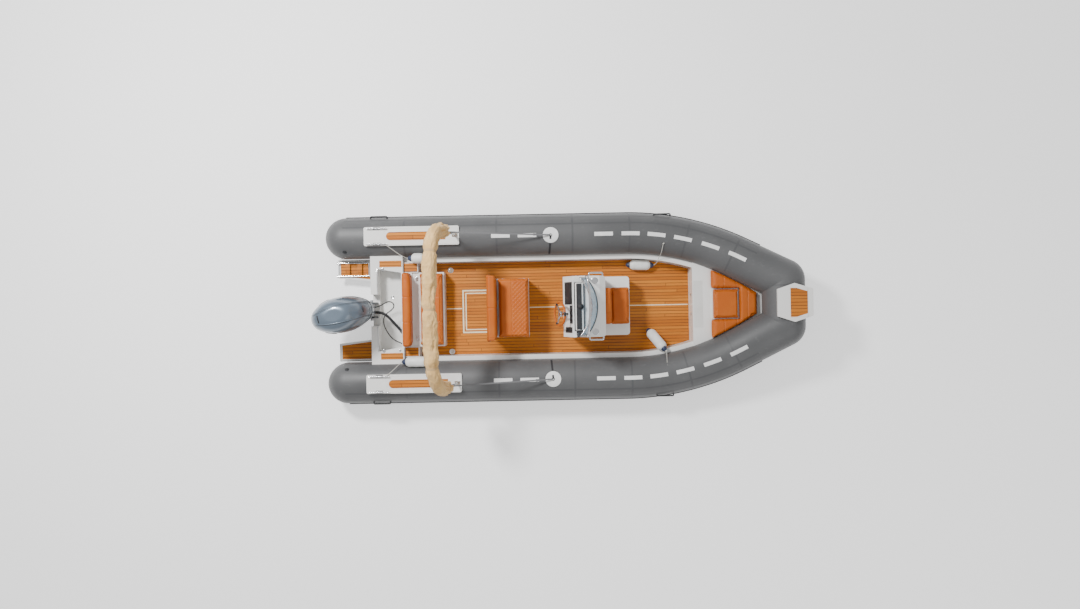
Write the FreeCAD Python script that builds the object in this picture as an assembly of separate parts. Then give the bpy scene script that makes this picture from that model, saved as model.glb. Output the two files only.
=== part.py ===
import FreeCAD, Part
import math
import os

# Rigid inflatable boat with an outboard engine, in millimetres.
# +X points to the bow, +Y to port, +Z up.
# The origin lies on the waterline, on the centreline, a little aft of the boat's middle.

V = FreeCAD.Vector
X_AXIS = V(1, 0, 0)
Y_AXIS = V(0, 1, 0)
Z_AXIS = V(0, 0, 1)
SIDES = (1, -1)

# Fits
SKIN_GAP = 0.3
SWING_GAP = 6.0
PIN_GAP = 0.3

# Buoyancy tubes
TUBE_R = 300.0
TUBE_Y = 1056.0
TUBE_Z = 320.0
TUBE_AFT_X = -2816.0
TUBE_KNEE_X = 2115.0
TUBE_BEND_R = 3190.0
NOSE_X = 3480.0
NOSE_Y = 330.0
NOSE_Z = 620.0
TUBE_SEAM_X = 2150.0
STRAKE_THICK = 12.0
STRAKE_HEIGHT = 44.0
STRAKE_END_X = 3180.0

# Hull
TRANSOM_X = -2453.0
TRANSOM_THICK = 103.0
HULL_TOP_Z = 60.0
HULL_END_X = 3400.0
FLOOR_PLATE = 30.0
TEAK_THICK = 10.0
FLOOR_Z = HULL_TOP_Z + FLOOR_PLATE
DECK_Z = FLOOR_Z + TEAK_THICK
WELL_INSET = 366.0
COAMING_ABOVE_TUBE_MID = 10.0

# Stern moulding with the engine well
STERN_TOP_Z = 450.0
STERN_FWD_X = -1984.0
MOTOR_WELL_FLOOR_Z = 200.0
MOTOR_WELL_FWD_X = -2010.0
MOTOR_WELL_HALF_AFT = 600.0
MOTOR_WELL_HALF_FWD = 540.0
CUTOUT_HALF = 230.0
CUTOUT_Z = 290.0

# Bathing platforms
PLATFORM_AFT_X = -2970.0
PLATFORM_TOP_Z = 200.0
PLATFORM_THICK = 60.0
PLATFORM_OUT_Y = 745.0
PLATFORM_IN_Y_AFT = 485.0
PLATFORM_IN_Y_FWD = 430.0
PLATFORM_RIM = 28.0

# Bathing ladder, folded on the port platform
LADDER_PIVOT_X = PLATFORM_AFT_X - 16.0
LADDER_LENGTH = 480.0
LADDER_RAIL_R = 12.5
LADDER_RAIL_YS = (510.0, 705.0)
LADDER_Z = PLATFORM_TOP_Z + LADDER_RAIL_R + 8.0
LADDER_PIN_R = 6.0
LADDER_STEP_LENGTH = 70.0

# Aft bench
BENCH_FWD_X = -1400.0
BENCH_HALF = 540.0
BENCH_TOP_Z = 360.0
BENCH_LID_AFT_X = -1768.0
SIDE_DECK_FWD_X = -1770.0
PANEL_WALL = 20.0
LID_THICK = 18.0
SEAT_PAD = 82.0
BENCH_BACK_FWD_X = -1861.0
BENCH_BACK_TOP_Z = 655.0

# Floor locker
HATCH_AFT_X = -1160.0
HATCH_FWD_X = -772.0
HATCH_PORT_Y = 280.0
HATCH_STARBOARD_Y = -370.0
HATCH_THICK = 30.0
HATCH_LEDGE = 15.0
HATCH_GAP = 2.0
FLOOR_LOCKER_DEPTH = 170.0

# Helm seat
HELM_AFT_X = -745.0
HELM_FWD_X = -160.0
HELM_HALF = 420.0
HELM_TOP_Z = 520.0
HELM_BACK_FWD_X = -621.0
HELM_BACK_AFT_X = -753.0
HELM_BACK_TOP_Z = 950.0
HELM_BACK_HALF = 470.0
HELM_PAD = 112.0

# Console
CONSOLE_HALF = 425.0
CONSOLE_FWD_X = 1300.0
CONSOLE_BASE_AFT_X = 400.0
CONSOLE_SEAT_Z = 430.0
CONSOLE_BACK_X = 915.0
DASH_LOW = (330.0, 690.0)
DASH_HIGH = (455.0, 960.0)
CONSOLE_TOP_Z = 960.0
CONSOLE_SEAT_HALF = 270.0
CONSOLE_PAD = 102.0
CONSOLE_BACK_PAD = 90.0
SCREEN_HEIGHT = 340.0
SCREEN_THICK = 8.0
SCREEN_HALF = 395.0
SCREEN_END_X = 650.0
SCREEN_MID_X = 800.0
SCREEN_RAKE = 110.0
RAIL_R = 12.5

# Steering wheel
WHEEL_Y = -100.0
WHEEL_R = 175.0
WHEEL_RIM_R = 14.0
WHEEL_STANDOFF = 130.0
WHEEL_SHAFT_R = 14.0

# Bow
BOW_STEP_AFT_X = 2220.0
BOW_DECK_Z = 420.0
BOW_PAD_AFT_X = 2485.0
BOW_PAD = 80.0
BOW_PAD_FWD_X = 3150.0
BOW_HATCH_AFT_X = 2495.0
BOW_HATCH_FWD_X = 2880.0
BOW_HATCH_HALF = 220.0
BOW_LOCKER_FLOOR_Z = 215.0
BOW_PLATE_Z = NOSE_Z + TUBE_R + 32.0
BOW_PLATE_THICK = 40.0

# Step plates on the tubes
STEP_AFT_X = -2500.0
STEP_FWD_X = -1140.0
STEP_WIDTH = 270.0
STEP_TOP_Z = TUBE_Z + TUBE_R + 12.0
STEP_SKIRT_Z = TUBE_Z + TUBE_R - 40.0
CLEAT_X = STEP_AFT_X + 185.0
CLEAT_HALF = 145.0

# Folded sunshade (bimini) on its hinged bow
ARCH_X = -1200.0
ARCH_Z = STEP_TOP_Z + 44.0
ARCH_LEAN = 11.0
ARCH_LEG_R = 14.0
ARCH_BOOT_R = 92.0
ARCH_BOOT_START = 400.0
ARCH_SHOULDER = 800.0
ARCH_CORNER_Y = 830.0
ARCH_CORNER = 1085.0
ARCH_CROWN = 1150.0
STAY_R = 4.0
STAY_PATCH_X = 170.0
STAY_PATCH_Y = TUBE_Y - 26.0

# Grab handles on the tubes
HANDLE_HALF = 120.0
BOW_HANDLE_X = 1790.0

# Fenders
FENDER_R = 75.0

# Towing eyes
EYE_R = 15.0
EYE_BAR = 13.0
EYE_WIDTH = 14.0
STEM_EYE = V(3277, 0, 167)
STERN_EYE_Y = 330.0
STERN_EYE_Z = -6.0

# Outboard engine
TILT_X = TRANSOM_X + 8.0
TILT_Z = 430.0
STEER_BEHIND_TILT = 115.0
STEER_X = TILT_X - STEER_BEHIND_TILT
STEER_REST_DEG = 13.0
COWL_BASE_Z = 620.0
VENT_PLATE_Z = -305.0
PROP_AXIS_Z = -520.0
PROP_R = 175.0
PROP_FRONT_X = STEER_X - 440.0
GEARCASE_NOSE_X = STEER_X - 100.0
GEARCASE_R = 55.0
SWIVEL_R = 46.0
SWIVEL_TOP_Z = 385.0
SWIVEL_LOW_Z = -40.0
SLEEVE_R = 36.0

# Hose and cable from the engine into the well's forward wall
HOSE_R = 20.0
HOSE_ROUTE = ((-2393, -30, 445), (-2300, -28, 456), (-2205, -95, 436), (-2125, -200, 390), (-2040, -305, 345))
CABLE_R = 8.0
CABLE_ROUTE = (
    (-2393, 46, 452), (-2330, 56, 468), (-2264, 92, 482), (-2194, 128, 486), (-2126, 108, 482),
    (-2108, 44, 482), (-2158, -8, 488), (-2226, -52, 490), (-2270, -122, 474), (-2272, -212, 448),
    (-2238, -304, 418), (-2188, -388, 392), (-2120, -452, 372), (-2036, -488, 360),
)
SOCKET_WALL = 6.0
GLAND_LENGTH = 26.0


# Helpers

def box(x0, x1, y0, y1, z0, z1):
    """Box between two corners."""
    return Part.makeBox(x1 - x0, y1 - y0, z1 - z0, V(x0, y0, z0))


def rounded_box(x0, x1, y0, y1, z0, z1, radius):
    """Box with all its edges rounded."""
    body = box(x0, x1, y0, y1, z0, z1)
    return body.makeFillet(radius, body.Edges)


def mirror(shape):
    """Copy on the other side of the centreline."""
    return shape.mirror(V(0, 0, 0), Y_AXIS)


def mirror_point(point):
    """The same point on the other side of the boat."""
    return V(point.x, -point.y, point.z)


def both(shape):
    """A piece and its mirror image."""
    return Part.makeCompound([shape, mirror(shape)])


def rod(radius, start, end):
    """Cylinder between two points."""
    along = end - start
    return Part.makeCylinder(radius, along.Length, start, along)


def plate_xy(points, z0, z1):
    """Flat plate from a plan outline."""
    corners = [V(x, y, z0) for x, y in points]
    return Part.Face(Part.makePolygon(corners + corners[:1])).extrude(V(0, 0, z1 - z0))


def plate_xz(points, y0, y1):
    """Plate from a side outline."""
    corners = [V(x, y0, z) for x, z in points]
    return Part.Face(Part.makePolygon(corners + corners[:1])).extrude(V(0, y1 - y0, 0))


def fuse(shapes):
    """One solid from pieces that meet."""
    return shapes[0].fuse(shapes[1:]).removeSplitter()


def rounded_path(points, radius):
    """Straight runs through the points, joined by tangent arcs."""
    edges = []
    last = points[0]
    for before, corner, after in zip(points, points[1:], points[2:]):
        back = (before - corner).normalize()
        ahead = (after - corner).normalize()
        half = back.getAngle(ahead) / 2
        run = min((before - corner).Length, (after - corner).Length)
        reach = min(radius / math.tan(half), 0.45 * run)
        bend = reach * math.tan(half)
        start = corner + back * reach
        end = corner + ahead * reach
        centre = corner + (back + ahead).normalize() * (bend / math.sin(half))
        middle = centre + (corner - centre).normalize() * bend
        if (start - last).Length > 1e-6:
            edges.append(Part.LineSegment(last, start).toShape())
        edges.append(Part.Arc(start, middle, end).toShape())
        last = end
    edges.append(Part.LineSegment(last, points[-1]).toShape())
    return Part.Wire(edges)


def pipe(points, tube_radius, bend_radius):
    """Round bar bent along the points."""
    path = rounded_path(points, bend_radius)
    start = points[0]
    ring = Part.Wire(Part.makeCircle(tube_radius, start, points[1] - start))
    shell = Part.BRepOffsetAPI.MakePipeShell(path)
    shell.add(ring)
    shell.build()
    shell.makeSolid()
    return shell.shape()


def cord_path(points):
    """Straight runs joined by tangent arcs, each as large as its two runs allow."""
    points = [V(*point) for point in points]
    edges = []
    at = points[0]
    for before, corner, after in zip(points, points[1:], points[2:]):
        back = (before - corner).normalize()
        on = (after - corner).normalize()
        half_turn = (math.pi - back.getAngle(on)) / 2
        cut = 0.45 * min(before.distanceToPoint(corner), corner.distanceToPoint(after))
        radius = cut / math.tan(half_turn)
        middle = corner + (back + on).normalize() * (radius / math.cos(half_turn) - radius)
        start = corner + back * cut
        end = corner + on * cut
        edges.append(Part.LineSegment(at, start).toShape())
        edges.append(Part.Arc(start, middle, end).toShape())
        print("bend radius", round(radius, 1))
        at = end
    edges.append(Part.LineSegment(at, points[-1]).toShape())
    return Part.Wire(edges)


def cord(points, radius):
    """Round hose or cable along a route."""
    path = cord_path(points)
    start = path.Edges[0].Vertexes[0].Point
    ahead = (V(*points[1]) - V(*points[0])).normalize()
    section = Part.Wire(Part.makeCircle(radius, start, ahead))
    shape = path.makePipeShell([section], True, False)
    print("cord share of its section times its length", round(shape.Volume / (math.pi * radius ** 2 * path.Length), 4))
    return shape


def oval(centre_x, z, half_length, half_width, end_share):
    """Oval wire of four tangent arcs, long in x. end_share sets how blunt its ends are."""
    end_r = half_width * end_share
    gap = half_length - end_r
    side_r = (gap * gap + half_width * half_width - end_r * end_r) / (2 * (half_width - end_r))
    drop = side_r - half_width
    scale = side_r / math.hypot(gap, drop)
    joint_x = gap * scale
    joint_y = drop * scale - drop
    joints = [(joint_x, joint_y), (-joint_x, joint_y), (-joint_x, -joint_y), (joint_x, -joint_y)]
    tips = [(0, half_width), (-half_length, 0), (0, -half_width), (half_length, 0)]
    edges = []
    for index in range(4):
        here = joints[index]
        there = joints[(index + 1) % 4]
        tip = tips[index]
        points = [V(centre_x + x, y, z) for x, y in (here, tip, there)]
        edges.append(Part.Arc(*points).toShape())
    return Part.Wire(edges)


# Tube path: a straight run, one long bend and a run up to the nose

def tube_path():
    """Centreline of the port tube and the normal of the plane that it bends in."""
    aft = V(TUBE_AFT_X, TUBE_Y, TUBE_Z)
    knee = V(TUBE_KNEE_X, TUBE_Y, TUBE_Z)
    nose = V(NOSE_X, NOSE_Y, NOSE_Z)
    ahead = X_AXIS
    inward = (nose - knee).normalize()
    normal = inward.cross(ahead).normalize()
    reach = TUBE_BEND_R * math.tan(ahead.getAngle(inward) / 2)
    start = knee - ahead * reach
    end = knee + inward * reach
    side = (inward - ahead * inward.dot(ahead)).normalize()
    centre = start + side * TUBE_BEND_R
    middle = centre + (knee - centre).normalize() * TUBE_BEND_R
    edges = [
        Part.LineSegment(aft, start).toShape(),
        Part.Arc(start, middle, end).toShape(),
        Part.LineSegment(end, nose).toShape(),
    ]
    return Part.Wire(edges), normal


def sweep_ring(profile):
    """Solid swept from one closed profile along the tube path."""
    path, normal = tube_path()
    shell = Part.BRepOffsetAPI.MakePipeShell(path)
    shell.setBiNormalMode(normal)
    shell.add(profile)
    shell.build()
    shell.makeSolid()
    return shell.shape()


def along_tube(out0, out1, up0, up1):
    """Bar that follows the port tube, placed outward and upward from its centreline."""
    corners = ((out0, up0), (out1, up0), (out1, up1), (out0, up1))
    points = [V(TUBE_AFT_X, TUBE_Y + out, TUBE_Z + up) for out, up in corners]
    return sweep_ring(Part.Wire(Part.makePolygon(points + points[:1])))


def tube_half(radius):
    """Port half of the inflated ring at a given radius, as its aft and its forward part."""
    side = sweep_ring(Part.Wire(Part.makeCircle(radius, V(TUBE_AFT_X, TUBE_Y, TUBE_Z), X_AXIS)))
    dome = Part.makeSphere(radius, V(TUBE_AFT_X, TUBE_Y, TUBE_Z))
    corner = Part.makeSphere(radius, V(NOSE_X, NOSE_Y, NOSE_Z))
    cross = Part.makeCylinder(radius, NOSE_Y, V(NOSE_X, 0, NOSE_Z), Y_AXIS)
    aft = side.common(box(-4000, TUBE_SEAM_X, 0, 2000, -900, 2000)).fuse(dome)
    bow = side.common(box(TUBE_SEAM_X, 4000, -10, 2000, -900, 2000)).fuse(corner).fuse(cross)
    return aft, bow


def tube_ring(radius):
    """The whole inflated ring at a given radius."""
    aft, bow = tube_half(radius)
    bow = bow.fuse(mirror(bow)).removeSplitter()
    return bow.fuse(aft).fuse(mirror(aft))


def between_tubes(inset):
    """Space between the tubes, held in from both centrelines by the inset."""
    half = along_tube(-2.2 * TUBE_Y, -inset, -3 * TUBE_R, 2.4 * TUBE_R)
    half = half.common(box(-4000, 4000, 0, 2 * TUBE_Y, -2000, 4000))
    return half.fuse(mirror(half)).removeSplitter()


def tube_centre_at(x):
    """Centreline point of the port tube at a station."""
    path, normal = tube_path()
    cut = path.common(box(x - 0.5, x + 0.5, 0, 2 * TUBE_Y, 0, 2 * NOSE_Z))
    return cut.BoundBox.Center


class Space:
    """Shapes that many pieces are trimmed to."""

    def __init__(self):
        self.tubes_clear = tube_ring(TUBE_R + SKIN_GAP)
        self.hull_form = make_hull_form()


# Hull

def make_hull_form():
    """Outside of the deep-V hull, from the keel up to inside the tubes."""
    # station x, keel z, chine half beam, chine z, sheer half beam, sheer z
    stations = (
        (TRANSOM_X, -360, 850, -25, 930, 460),
        (0, -360, 850, -15, 930, 460),
        (1200, -350, 845, 0, 928, 460),
        (1800, -305, 790, 30, 894, 475),
        (2200, -240, 690, 70, 807, 511),
        (2500, -165, 580, 120, 704, 553),
        (2820, -50, 430, 190, 557, 615),
        (3100, 90, 290, 270, 408, 676),
        (3330, 250, 130, 335, 210, 700),
        (HULL_END_X, 310, 25, 340, 60, 700),
    )
    rings = []
    for x, keel, chine_y, chine_z, sheer_y, sheer_z in stations:
        half = [(0, keel), (chine_y, chine_z), (sheer_y, sheer_z)]
        ring = half + [(-y, z) for y, z in reversed(half[1:])]
        points = [V(x, y, z) for y, z in ring]
        rings.append(Part.Wire(Part.makePolygon(points + points[:1])))
    return Part.makeLoft(rings, True, True)


def make_hull(space):
    """Hull below the cockpit floor, with the pocket of the floor locker."""
    low = box(TRANSOM_X, HULL_END_X, -TUBE_Y, TUBE_Y, -900, HULL_TOP_Z)
    pocket = box(HATCH_AFT_X + HATCH_LEDGE, HATCH_FWD_X - HATCH_LEDGE,
                 HATCH_STARBOARD_Y + HATCH_LEDGE, HATCH_PORT_Y - HATCH_LEDGE,
                 HULL_TOP_Z - FLOOR_LOCKER_DEPTH, HULL_TOP_Z)
    return space.hull_form.common(low).cut(space.tubes_clear).cut(pocket)


def make_tubes():
    """Port and starboard tubes and the bow tube, parted at the seams."""
    port, bow_half = tube_half(TUBE_R)
    bow = bow_half.fuse(mirror(bow_half)).removeSplitter()
    return port, mirror(port), bow


def make_rub_strakes(space):
    """Rubbing strake along the outside of each tube, up to the bow seam of the nose."""
    bar = along_tube(TUBE_R + SKIN_GAP, TUBE_R + STRAKE_THICK, -STRAKE_HEIGHT / 2, STRAKE_HEIGHT / 2)
    keep = box(-4000, STRAKE_END_X, 500, 2000, -900, 2000)
    return both(bar.common(keep))


def make_floor_pan(space):
    """Flat floor moulding with the opening and ledge of the floor locker."""
    room = box(STERN_FWD_X, BOW_STEP_AFT_X, -TUBE_Y, TUBE_Y, HULL_TOP_Z, FLOOR_Z)
    pan = between_tubes(WELL_INSET + SKIN_GAP).common(room)
    seat_z = DECK_Z - HATCH_THICK - SKIN_GAP
    upper = box(HATCH_AFT_X - HATCH_GAP, HATCH_FWD_X + HATCH_GAP, HATCH_STARBOARD_Y - HATCH_GAP,
                HATCH_PORT_Y + HATCH_GAP, seat_z, DECK_Z)
    lower = box(HATCH_AFT_X + HATCH_LEDGE, HATCH_FWD_X - HATCH_LEDGE,
                HATCH_STARBOARD_Y + HATCH_LEDGE, HATCH_PORT_Y - HATCH_LEDGE, 0, DECK_Z)
    return pan.cut(upper).cut(lower)


def make_side_coamings(space):
    """Upright sides of the cockpit, fitted against the tubes."""
    wall = along_tube(-WELL_INSET, -TUBE_R / 2, -TUBE_R - 60, COAMING_ABOVE_TUBE_MID)
    room = box(STERN_FWD_X, BOW_STEP_AFT_X, 0, TUBE_Y, HULL_TOP_Z, 2 * TUBE_Z)
    wall = wall.common(room).common(space.hull_form).cut(space.tubes_clear)
    return both(wall)


def furniture_footprints():
    """Plan rectangles of what stands on the floor: aft x, forward x, starboard y, port y."""
    return (
        (STERN_FWD_X, BENCH_FWD_X, -BENCH_HALF, BENCH_HALF),
        (STERN_FWD_X, SIDE_DECK_FWD_X, -TUBE_Y, TUBE_Y),
        (HELM_AFT_X, HELM_FWD_X, -HELM_HALF, HELM_HALF),
        (CONSOLE_BASE_AFT_X, CONSOLE_FWD_X, -CONSOLE_HALF, CONSOLE_HALF),
        (HATCH_AFT_X - HATCH_GAP, HATCH_FWD_X + HATCH_GAP,
         HATCH_STARBOARD_Y - HATCH_GAP, HATCH_PORT_Y + HATCH_GAP),
    )


def make_deck_teak(space):
    """Teak laid on the cockpit floor round the furniture."""
    room = box(STERN_FWD_X, BOW_STEP_AFT_X, -TUBE_Y, TUBE_Y, FLOOR_Z, DECK_Z)
    deck = between_tubes(WELL_INSET + 8).common(room)
    for x0, x1, y0, y1 in furniture_footprints():
        deck = deck.cut(box(x0 - SKIN_GAP, x1 + SKIN_GAP, y0 - SKIN_GAP, y1 + SKIN_GAP, 0, 500))
    return deck


def make_floor_hatch():
    """Floor locker lid."""
    lid = box(HATCH_AFT_X, HATCH_FWD_X, HATCH_STARBOARD_Y, HATCH_PORT_Y,
              DECK_Z - HATCH_THICK, DECK_Z)
    return lid


# Stern

def make_stern_moulding(space):
    """Transom, self-draining motor well and the side decks beside it."""
    room = box(TRANSOM_X, STERN_FWD_X, -TUBE_Y, TUBE_Y, HULL_TOP_Z, STERN_TOP_Z)
    block = space.hull_form.common(room).cut(space.tubes_clear)
    inner_x = TRANSOM_X + TRANSOM_THICK
    well = plate_xy(((inner_x, -MOTOR_WELL_HALF_AFT), (MOTOR_WELL_FWD_X, -MOTOR_WELL_HALF_FWD),
                     (MOTOR_WELL_FWD_X, MOTOR_WELL_HALF_FWD), (inner_x, MOTOR_WELL_HALF_AFT)),
                    MOTOR_WELL_FLOOR_Z, 900)
    notch = box(TRANSOM_X - 10, inner_x + 10, -CUTOUT_HALF, CUTOUT_HALF, CUTOUT_Z, 900)
    return block.cut(well).cut(notch)


def platform_outline(inset):
    """Plan of the port bathing platform, drawn in by an inset."""
    return (
        (PLATFORM_AFT_X + inset, PLATFORM_IN_Y_AFT + inset),
        (TRANSOM_X - inset, PLATFORM_IN_Y_FWD + inset),
        (TRANSOM_X - inset, PLATFORM_OUT_Y - inset),
        (PLATFORM_AFT_X + inset, PLATFORM_OUT_Y - inset),
    )


def make_swim_platforms():
    """Bathing platforms on the transom, with a knee under each and the ladder's lugs."""
    slab = plate_xy(platform_outline(0), PLATFORM_TOP_Z - PLATFORM_THICK, PLATFORM_TOP_Z)
    recess = plate_xy(platform_outline(PLATFORM_RIM), PLATFORM_TOP_Z - 8, PLATFORM_TOP_Z + 1)
    slab = slab.cut(recess)
    low_z = PLATFORM_TOP_Z - PLATFORM_THICK
    knee = plate_xz(((TRANSOM_X, low_z), (TRANSOM_X - 420, low_z), (TRANSOM_X, low_z - 130)),
                    PLATFORM_IN_Y_FWD + 110, PLATFORM_OUT_Y - 110)
    wing = slab.fuse(knee)
    lugs = []
    for rail_y in LADDER_RAIL_YS:
        for side in SIDES:
            inner = rail_y + side * (LADDER_RAIL_R + 2)
            y0 = min(inner, inner + side * 6)
            lug = box(LADDER_PIVOT_X - 12, PLATFORM_AFT_X + 20, y0, y0 + 6,
                      PLATFORM_TOP_Z - 30, LADDER_Z + 12)
            bore = rod(LADDER_PIN_R + PIN_GAP, V(LADDER_PIVOT_X, y0 - 1, LADDER_Z),
                       V(LADDER_PIVOT_X, y0 + 7, LADDER_Z))
            lugs.append(lug.cut(bore))
    port = wing.fuse(lugs)
    return Part.makeCompound([port, mirror(wing)])


def make_swim_ladder():
    """Two rails with treads, on pins at the platform's edge."""
    pieces = []
    for y in LADDER_RAIL_YS:
        start = V(LADDER_PIVOT_X - 4, y, LADDER_Z)
        end = V(LADDER_PIVOT_X + LADDER_LENGTH, y, LADDER_Z)
        pieces.append(rod(LADDER_RAIL_R, start, end))
        reach = LADDER_RAIL_R + 10
        pieces.append(rod(LADDER_PIN_R, V(LADDER_PIVOT_X, y - reach, LADDER_Z),
                          V(LADDER_PIVOT_X, y + reach, LADDER_Z)))
    y0, y1 = LADDER_RAIL_YS
    for share in (0.25, 0.62, 0.985):
        x = LADDER_PIVOT_X + LADDER_LENGTH * share
        if share > 0.9:
            pieces.append(rod(LADDER_RAIL_R, V(x - 4, y0, LADDER_Z), V(x - 4, y1, LADDER_Z)))
        else:
            pieces.append(box(x, x + LADDER_STEP_LENGTH, y0, y1, LADDER_Z - 9, LADDER_Z + 9))
    return fuse(pieces)


def make_teak_panels():
    """Teak on the platforms, beside the motor well, on the step plates and at the bow."""
    platform = plate_xy(platform_outline(PLATFORM_RIM + 2), PLATFORM_TOP_Z - 8, PLATFORM_TOP_Z + 1)
    side_deck = box(TRANSOM_X + 133, STERN_FWD_X - 16, MOTOR_WELL_HALF_AFT + 25, MOTOR_WELL_HALF_AFT + 115,
                    STERN_TOP_Z, STERN_TOP_Z + 6)
    bench_deck = box(STERN_FWD_X + 10, SIDE_DECK_FWD_X - 12, BENCH_HALF + 12, TUBE_Y - WELL_INSET - 14,
                     STERN_TOP_Z - 60, STERN_TOP_Z - 54)
    step = step_teak_outline().extrude(V(0, 0, 6))
    bow = box(NOSE_X, NOSE_X + 235, -200, 200, BOW_PLATE_Z, BOW_PLATE_Z + 6)
    return Part.makeCompound([both(platform), both(side_deck), both(bench_deck), both(step), bow])


def step_teak_outline():
    """Teak strip on the port step plate, rounded at its aft end."""
    half = 57.5
    aft = -2180 + half
    fwd = -1335
    z = STEP_TOP_Z
    edges = [
        Part.LineSegment(V(fwd, TUBE_Y - half, z), V(fwd, TUBE_Y + half, z)).toShape(),
        Part.LineSegment(V(fwd, TUBE_Y + half, z), V(aft, TUBE_Y + half, z)).toShape(),
        Part.Arc(V(aft, TUBE_Y + half, z), V(aft - half, TUBE_Y, z), V(aft, TUBE_Y - half, z)).toShape(),
        Part.LineSegment(V(aft, TUBE_Y - half, z), V(fwd, TUBE_Y - half, z)).toShape(),
    ]
    return Part.Face(Part.Wire(edges))


def make_step_plates(space):
    """Moulded step plates saddled on the aft tube tops."""
    plate = box(STEP_AFT_X, STEP_FWD_X, TUBE_Y - STEP_WIDTH / 2, TUBE_Y + STEP_WIDTH / 2,
                STEP_SKIRT_Z, STEP_TOP_Z)
    upright = [edge for edge in plate.Edges if abs(edge.tangentAt(0).z) > 0.9]
    plate = plate.makeFillet(25, upright)
    return both(plate.cut(space.tubes_clear))


def make_cleats():
    """Horn cleats on the edges of the step plates."""
    pieces = []
    for y in (TUBE_Y - 112, TUBE_Y + 112):
        base = box(CLEAT_X - 40, CLEAT_X + 40, y - 14, y + 14, STEP_TOP_Z, STEP_TOP_Z + 6)
        posts = [rod(8, V(x, y, STEP_TOP_Z), V(x, y, STEP_TOP_Z + 32)) for x in (CLEAT_X - 20, CLEAT_X + 20)]
        horn = rod(9, V(CLEAT_X - CLEAT_HALF, y, STEP_TOP_Z + 34), V(CLEAT_X + CLEAT_HALF, y, STEP_TOP_Z + 34))
        pieces.append(fuse([base] + posts + [horn]))
    return both(Part.makeCompound(pieces))


def eye_ring(centre):
    """Ring of a towing eye, with its hole across the boat."""
    half = V(0, EYE_WIDTH / 2, 0)
    ring = rod(EYE_R + EYE_BAR, centre - half, centre + half)
    return ring.cut(rod(EYE_R, centre - half * 2, centre + half * 2))


def make_mooring_eyes(space):
    """Towing eyes: one on the stem, two on the transom."""
    inward = V(-0.571, 0, 0.821)
    stem = eye_ring(STEM_EYE).fuse(rod(11, STEM_EYE + inward * (EYE_R + 6), STEM_EYE + inward * 70))
    eyes = [stem.cut(space.hull_form)]
    reach = EYE_R + EYE_BAR + 4
    for side in SIDES:
        centre = V(TRANSOM_X - reach, side * STERN_EYE_Y, STERN_EYE_Z)
        plate = rod(26, V(TRANSOM_X - 6, centre.y, centre.z), V(TRANSOM_X, centre.y, centre.z))
        neck = rod(9, centre + X_AXIS * (EYE_R + 3), V(TRANSOM_X - 3, centre.y, centre.z))
        eyes.append(fuse([eye_ring(centre), plate, neck]))
    return Part.makeCompound(eyes)


# Aft bench

def make_bench_base():
    """Hollow bench moulding with its side decks."""
    body = box(STERN_FWD_X, BENCH_FWD_X, -BENCH_HALF, BENCH_HALF, FLOOR_Z, BENCH_TOP_Z)
    store = box(BENCH_LID_AFT_X + 20, BENCH_FWD_X - PANEL_WALL, -BENCH_HALF + PANEL_WALL,
                BENCH_HALF - PANEL_WALL, FLOOR_Z + PANEL_WALL, BENCH_TOP_Z)
    body = body.cut(store)
    deck = box(STERN_FWD_X, SIDE_DECK_FWD_X, BENCH_HALF, TUBE_Y - WELL_INSET - SKIN_GAP,
               FLOOR_Z, STERN_TOP_Z - 60)
    return body.fuse([deck, mirror(deck)])


def make_bench_lid():
    """Bench lid, hinged along its aft edge."""
    return box(BENCH_LID_AFT_X, BENCH_FWD_X + 4, -BENCH_HALF, BENCH_HALF,
               BENCH_TOP_Z, BENCH_TOP_Z + LID_THICK)


def make_bench_cushion():
    """Seat pad on the bench lid."""
    z = BENCH_TOP_Z + LID_THICK + SKIN_GAP
    return rounded_box(BENCH_LID_AFT_X + 8, BENCH_FWD_X + 6, -BENCH_HALF + 4, BENCH_HALF - 4,
                       z, z + SEAT_PAD, 26)


def make_bench_back():
    """Moulded shell that holds the aft backrest."""
    shell_fwd = STERN_FWD_X + 34
    shell = box(STERN_FWD_X, shell_fwd, -BENCH_HALF, BENCH_HALF, BENCH_TOP_Z, BENCH_BACK_TOP_Z - 60)
    foot = box(shell_fwd, BENCH_BACK_FWD_X, -BENCH_HALF, BENCH_HALF, BENCH_TOP_Z, BENCH_TOP_Z + 20)
    return shell.fuse(foot)


def make_bench_back_cushion():
    """Padded roll over the top of the aft backrest."""
    shell_fwd = STERN_FWD_X + 34 + SKIN_GAP
    top = rounded_box(STERN_FWD_X + 1, BENCH_BACK_FWD_X, -BENCH_HALF, BENCH_HALF,
                             BENCH_TOP_Z + 20 + SKIN_GAP, BENCH_BACK_TOP_Z, 46)
    slot = box(STERN_FWD_X - 10, shell_fwd, -BENCH_HALF - 1, BENCH_HALF + 1,
               BENCH_TOP_Z, BENCH_BACK_TOP_Z - 60 + SKIN_GAP)
    return top.cut(slot)


# Helm seat

def make_helm_base():
    """Hollow helm seat box."""
    body = box(HELM_AFT_X, HELM_FWD_X, -HELM_HALF, HELM_HALF, FLOOR_Z, HELM_TOP_Z)
    upright = [edge for edge in body.Edges if abs(edge.tangentAt(0).z) > 0.9]
    body = body.makeFillet(35, upright)
    store = box(HELM_BACK_FWD_X + 10, HELM_FWD_X - PANEL_WALL, -HELM_HALF + PANEL_WALL,
                HELM_HALF - PANEL_WALL, FLOOR_Z + PANEL_WALL, HELM_TOP_Z)
    return body.cut(store)


def make_helm_lid():
    """Helm seat lid, hinged along its forward edge."""
    return box(HELM_BACK_FWD_X + 4, HELM_FWD_X, -HELM_HALF, HELM_HALF,
               HELM_TOP_Z, HELM_TOP_Z + LID_THICK)


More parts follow.
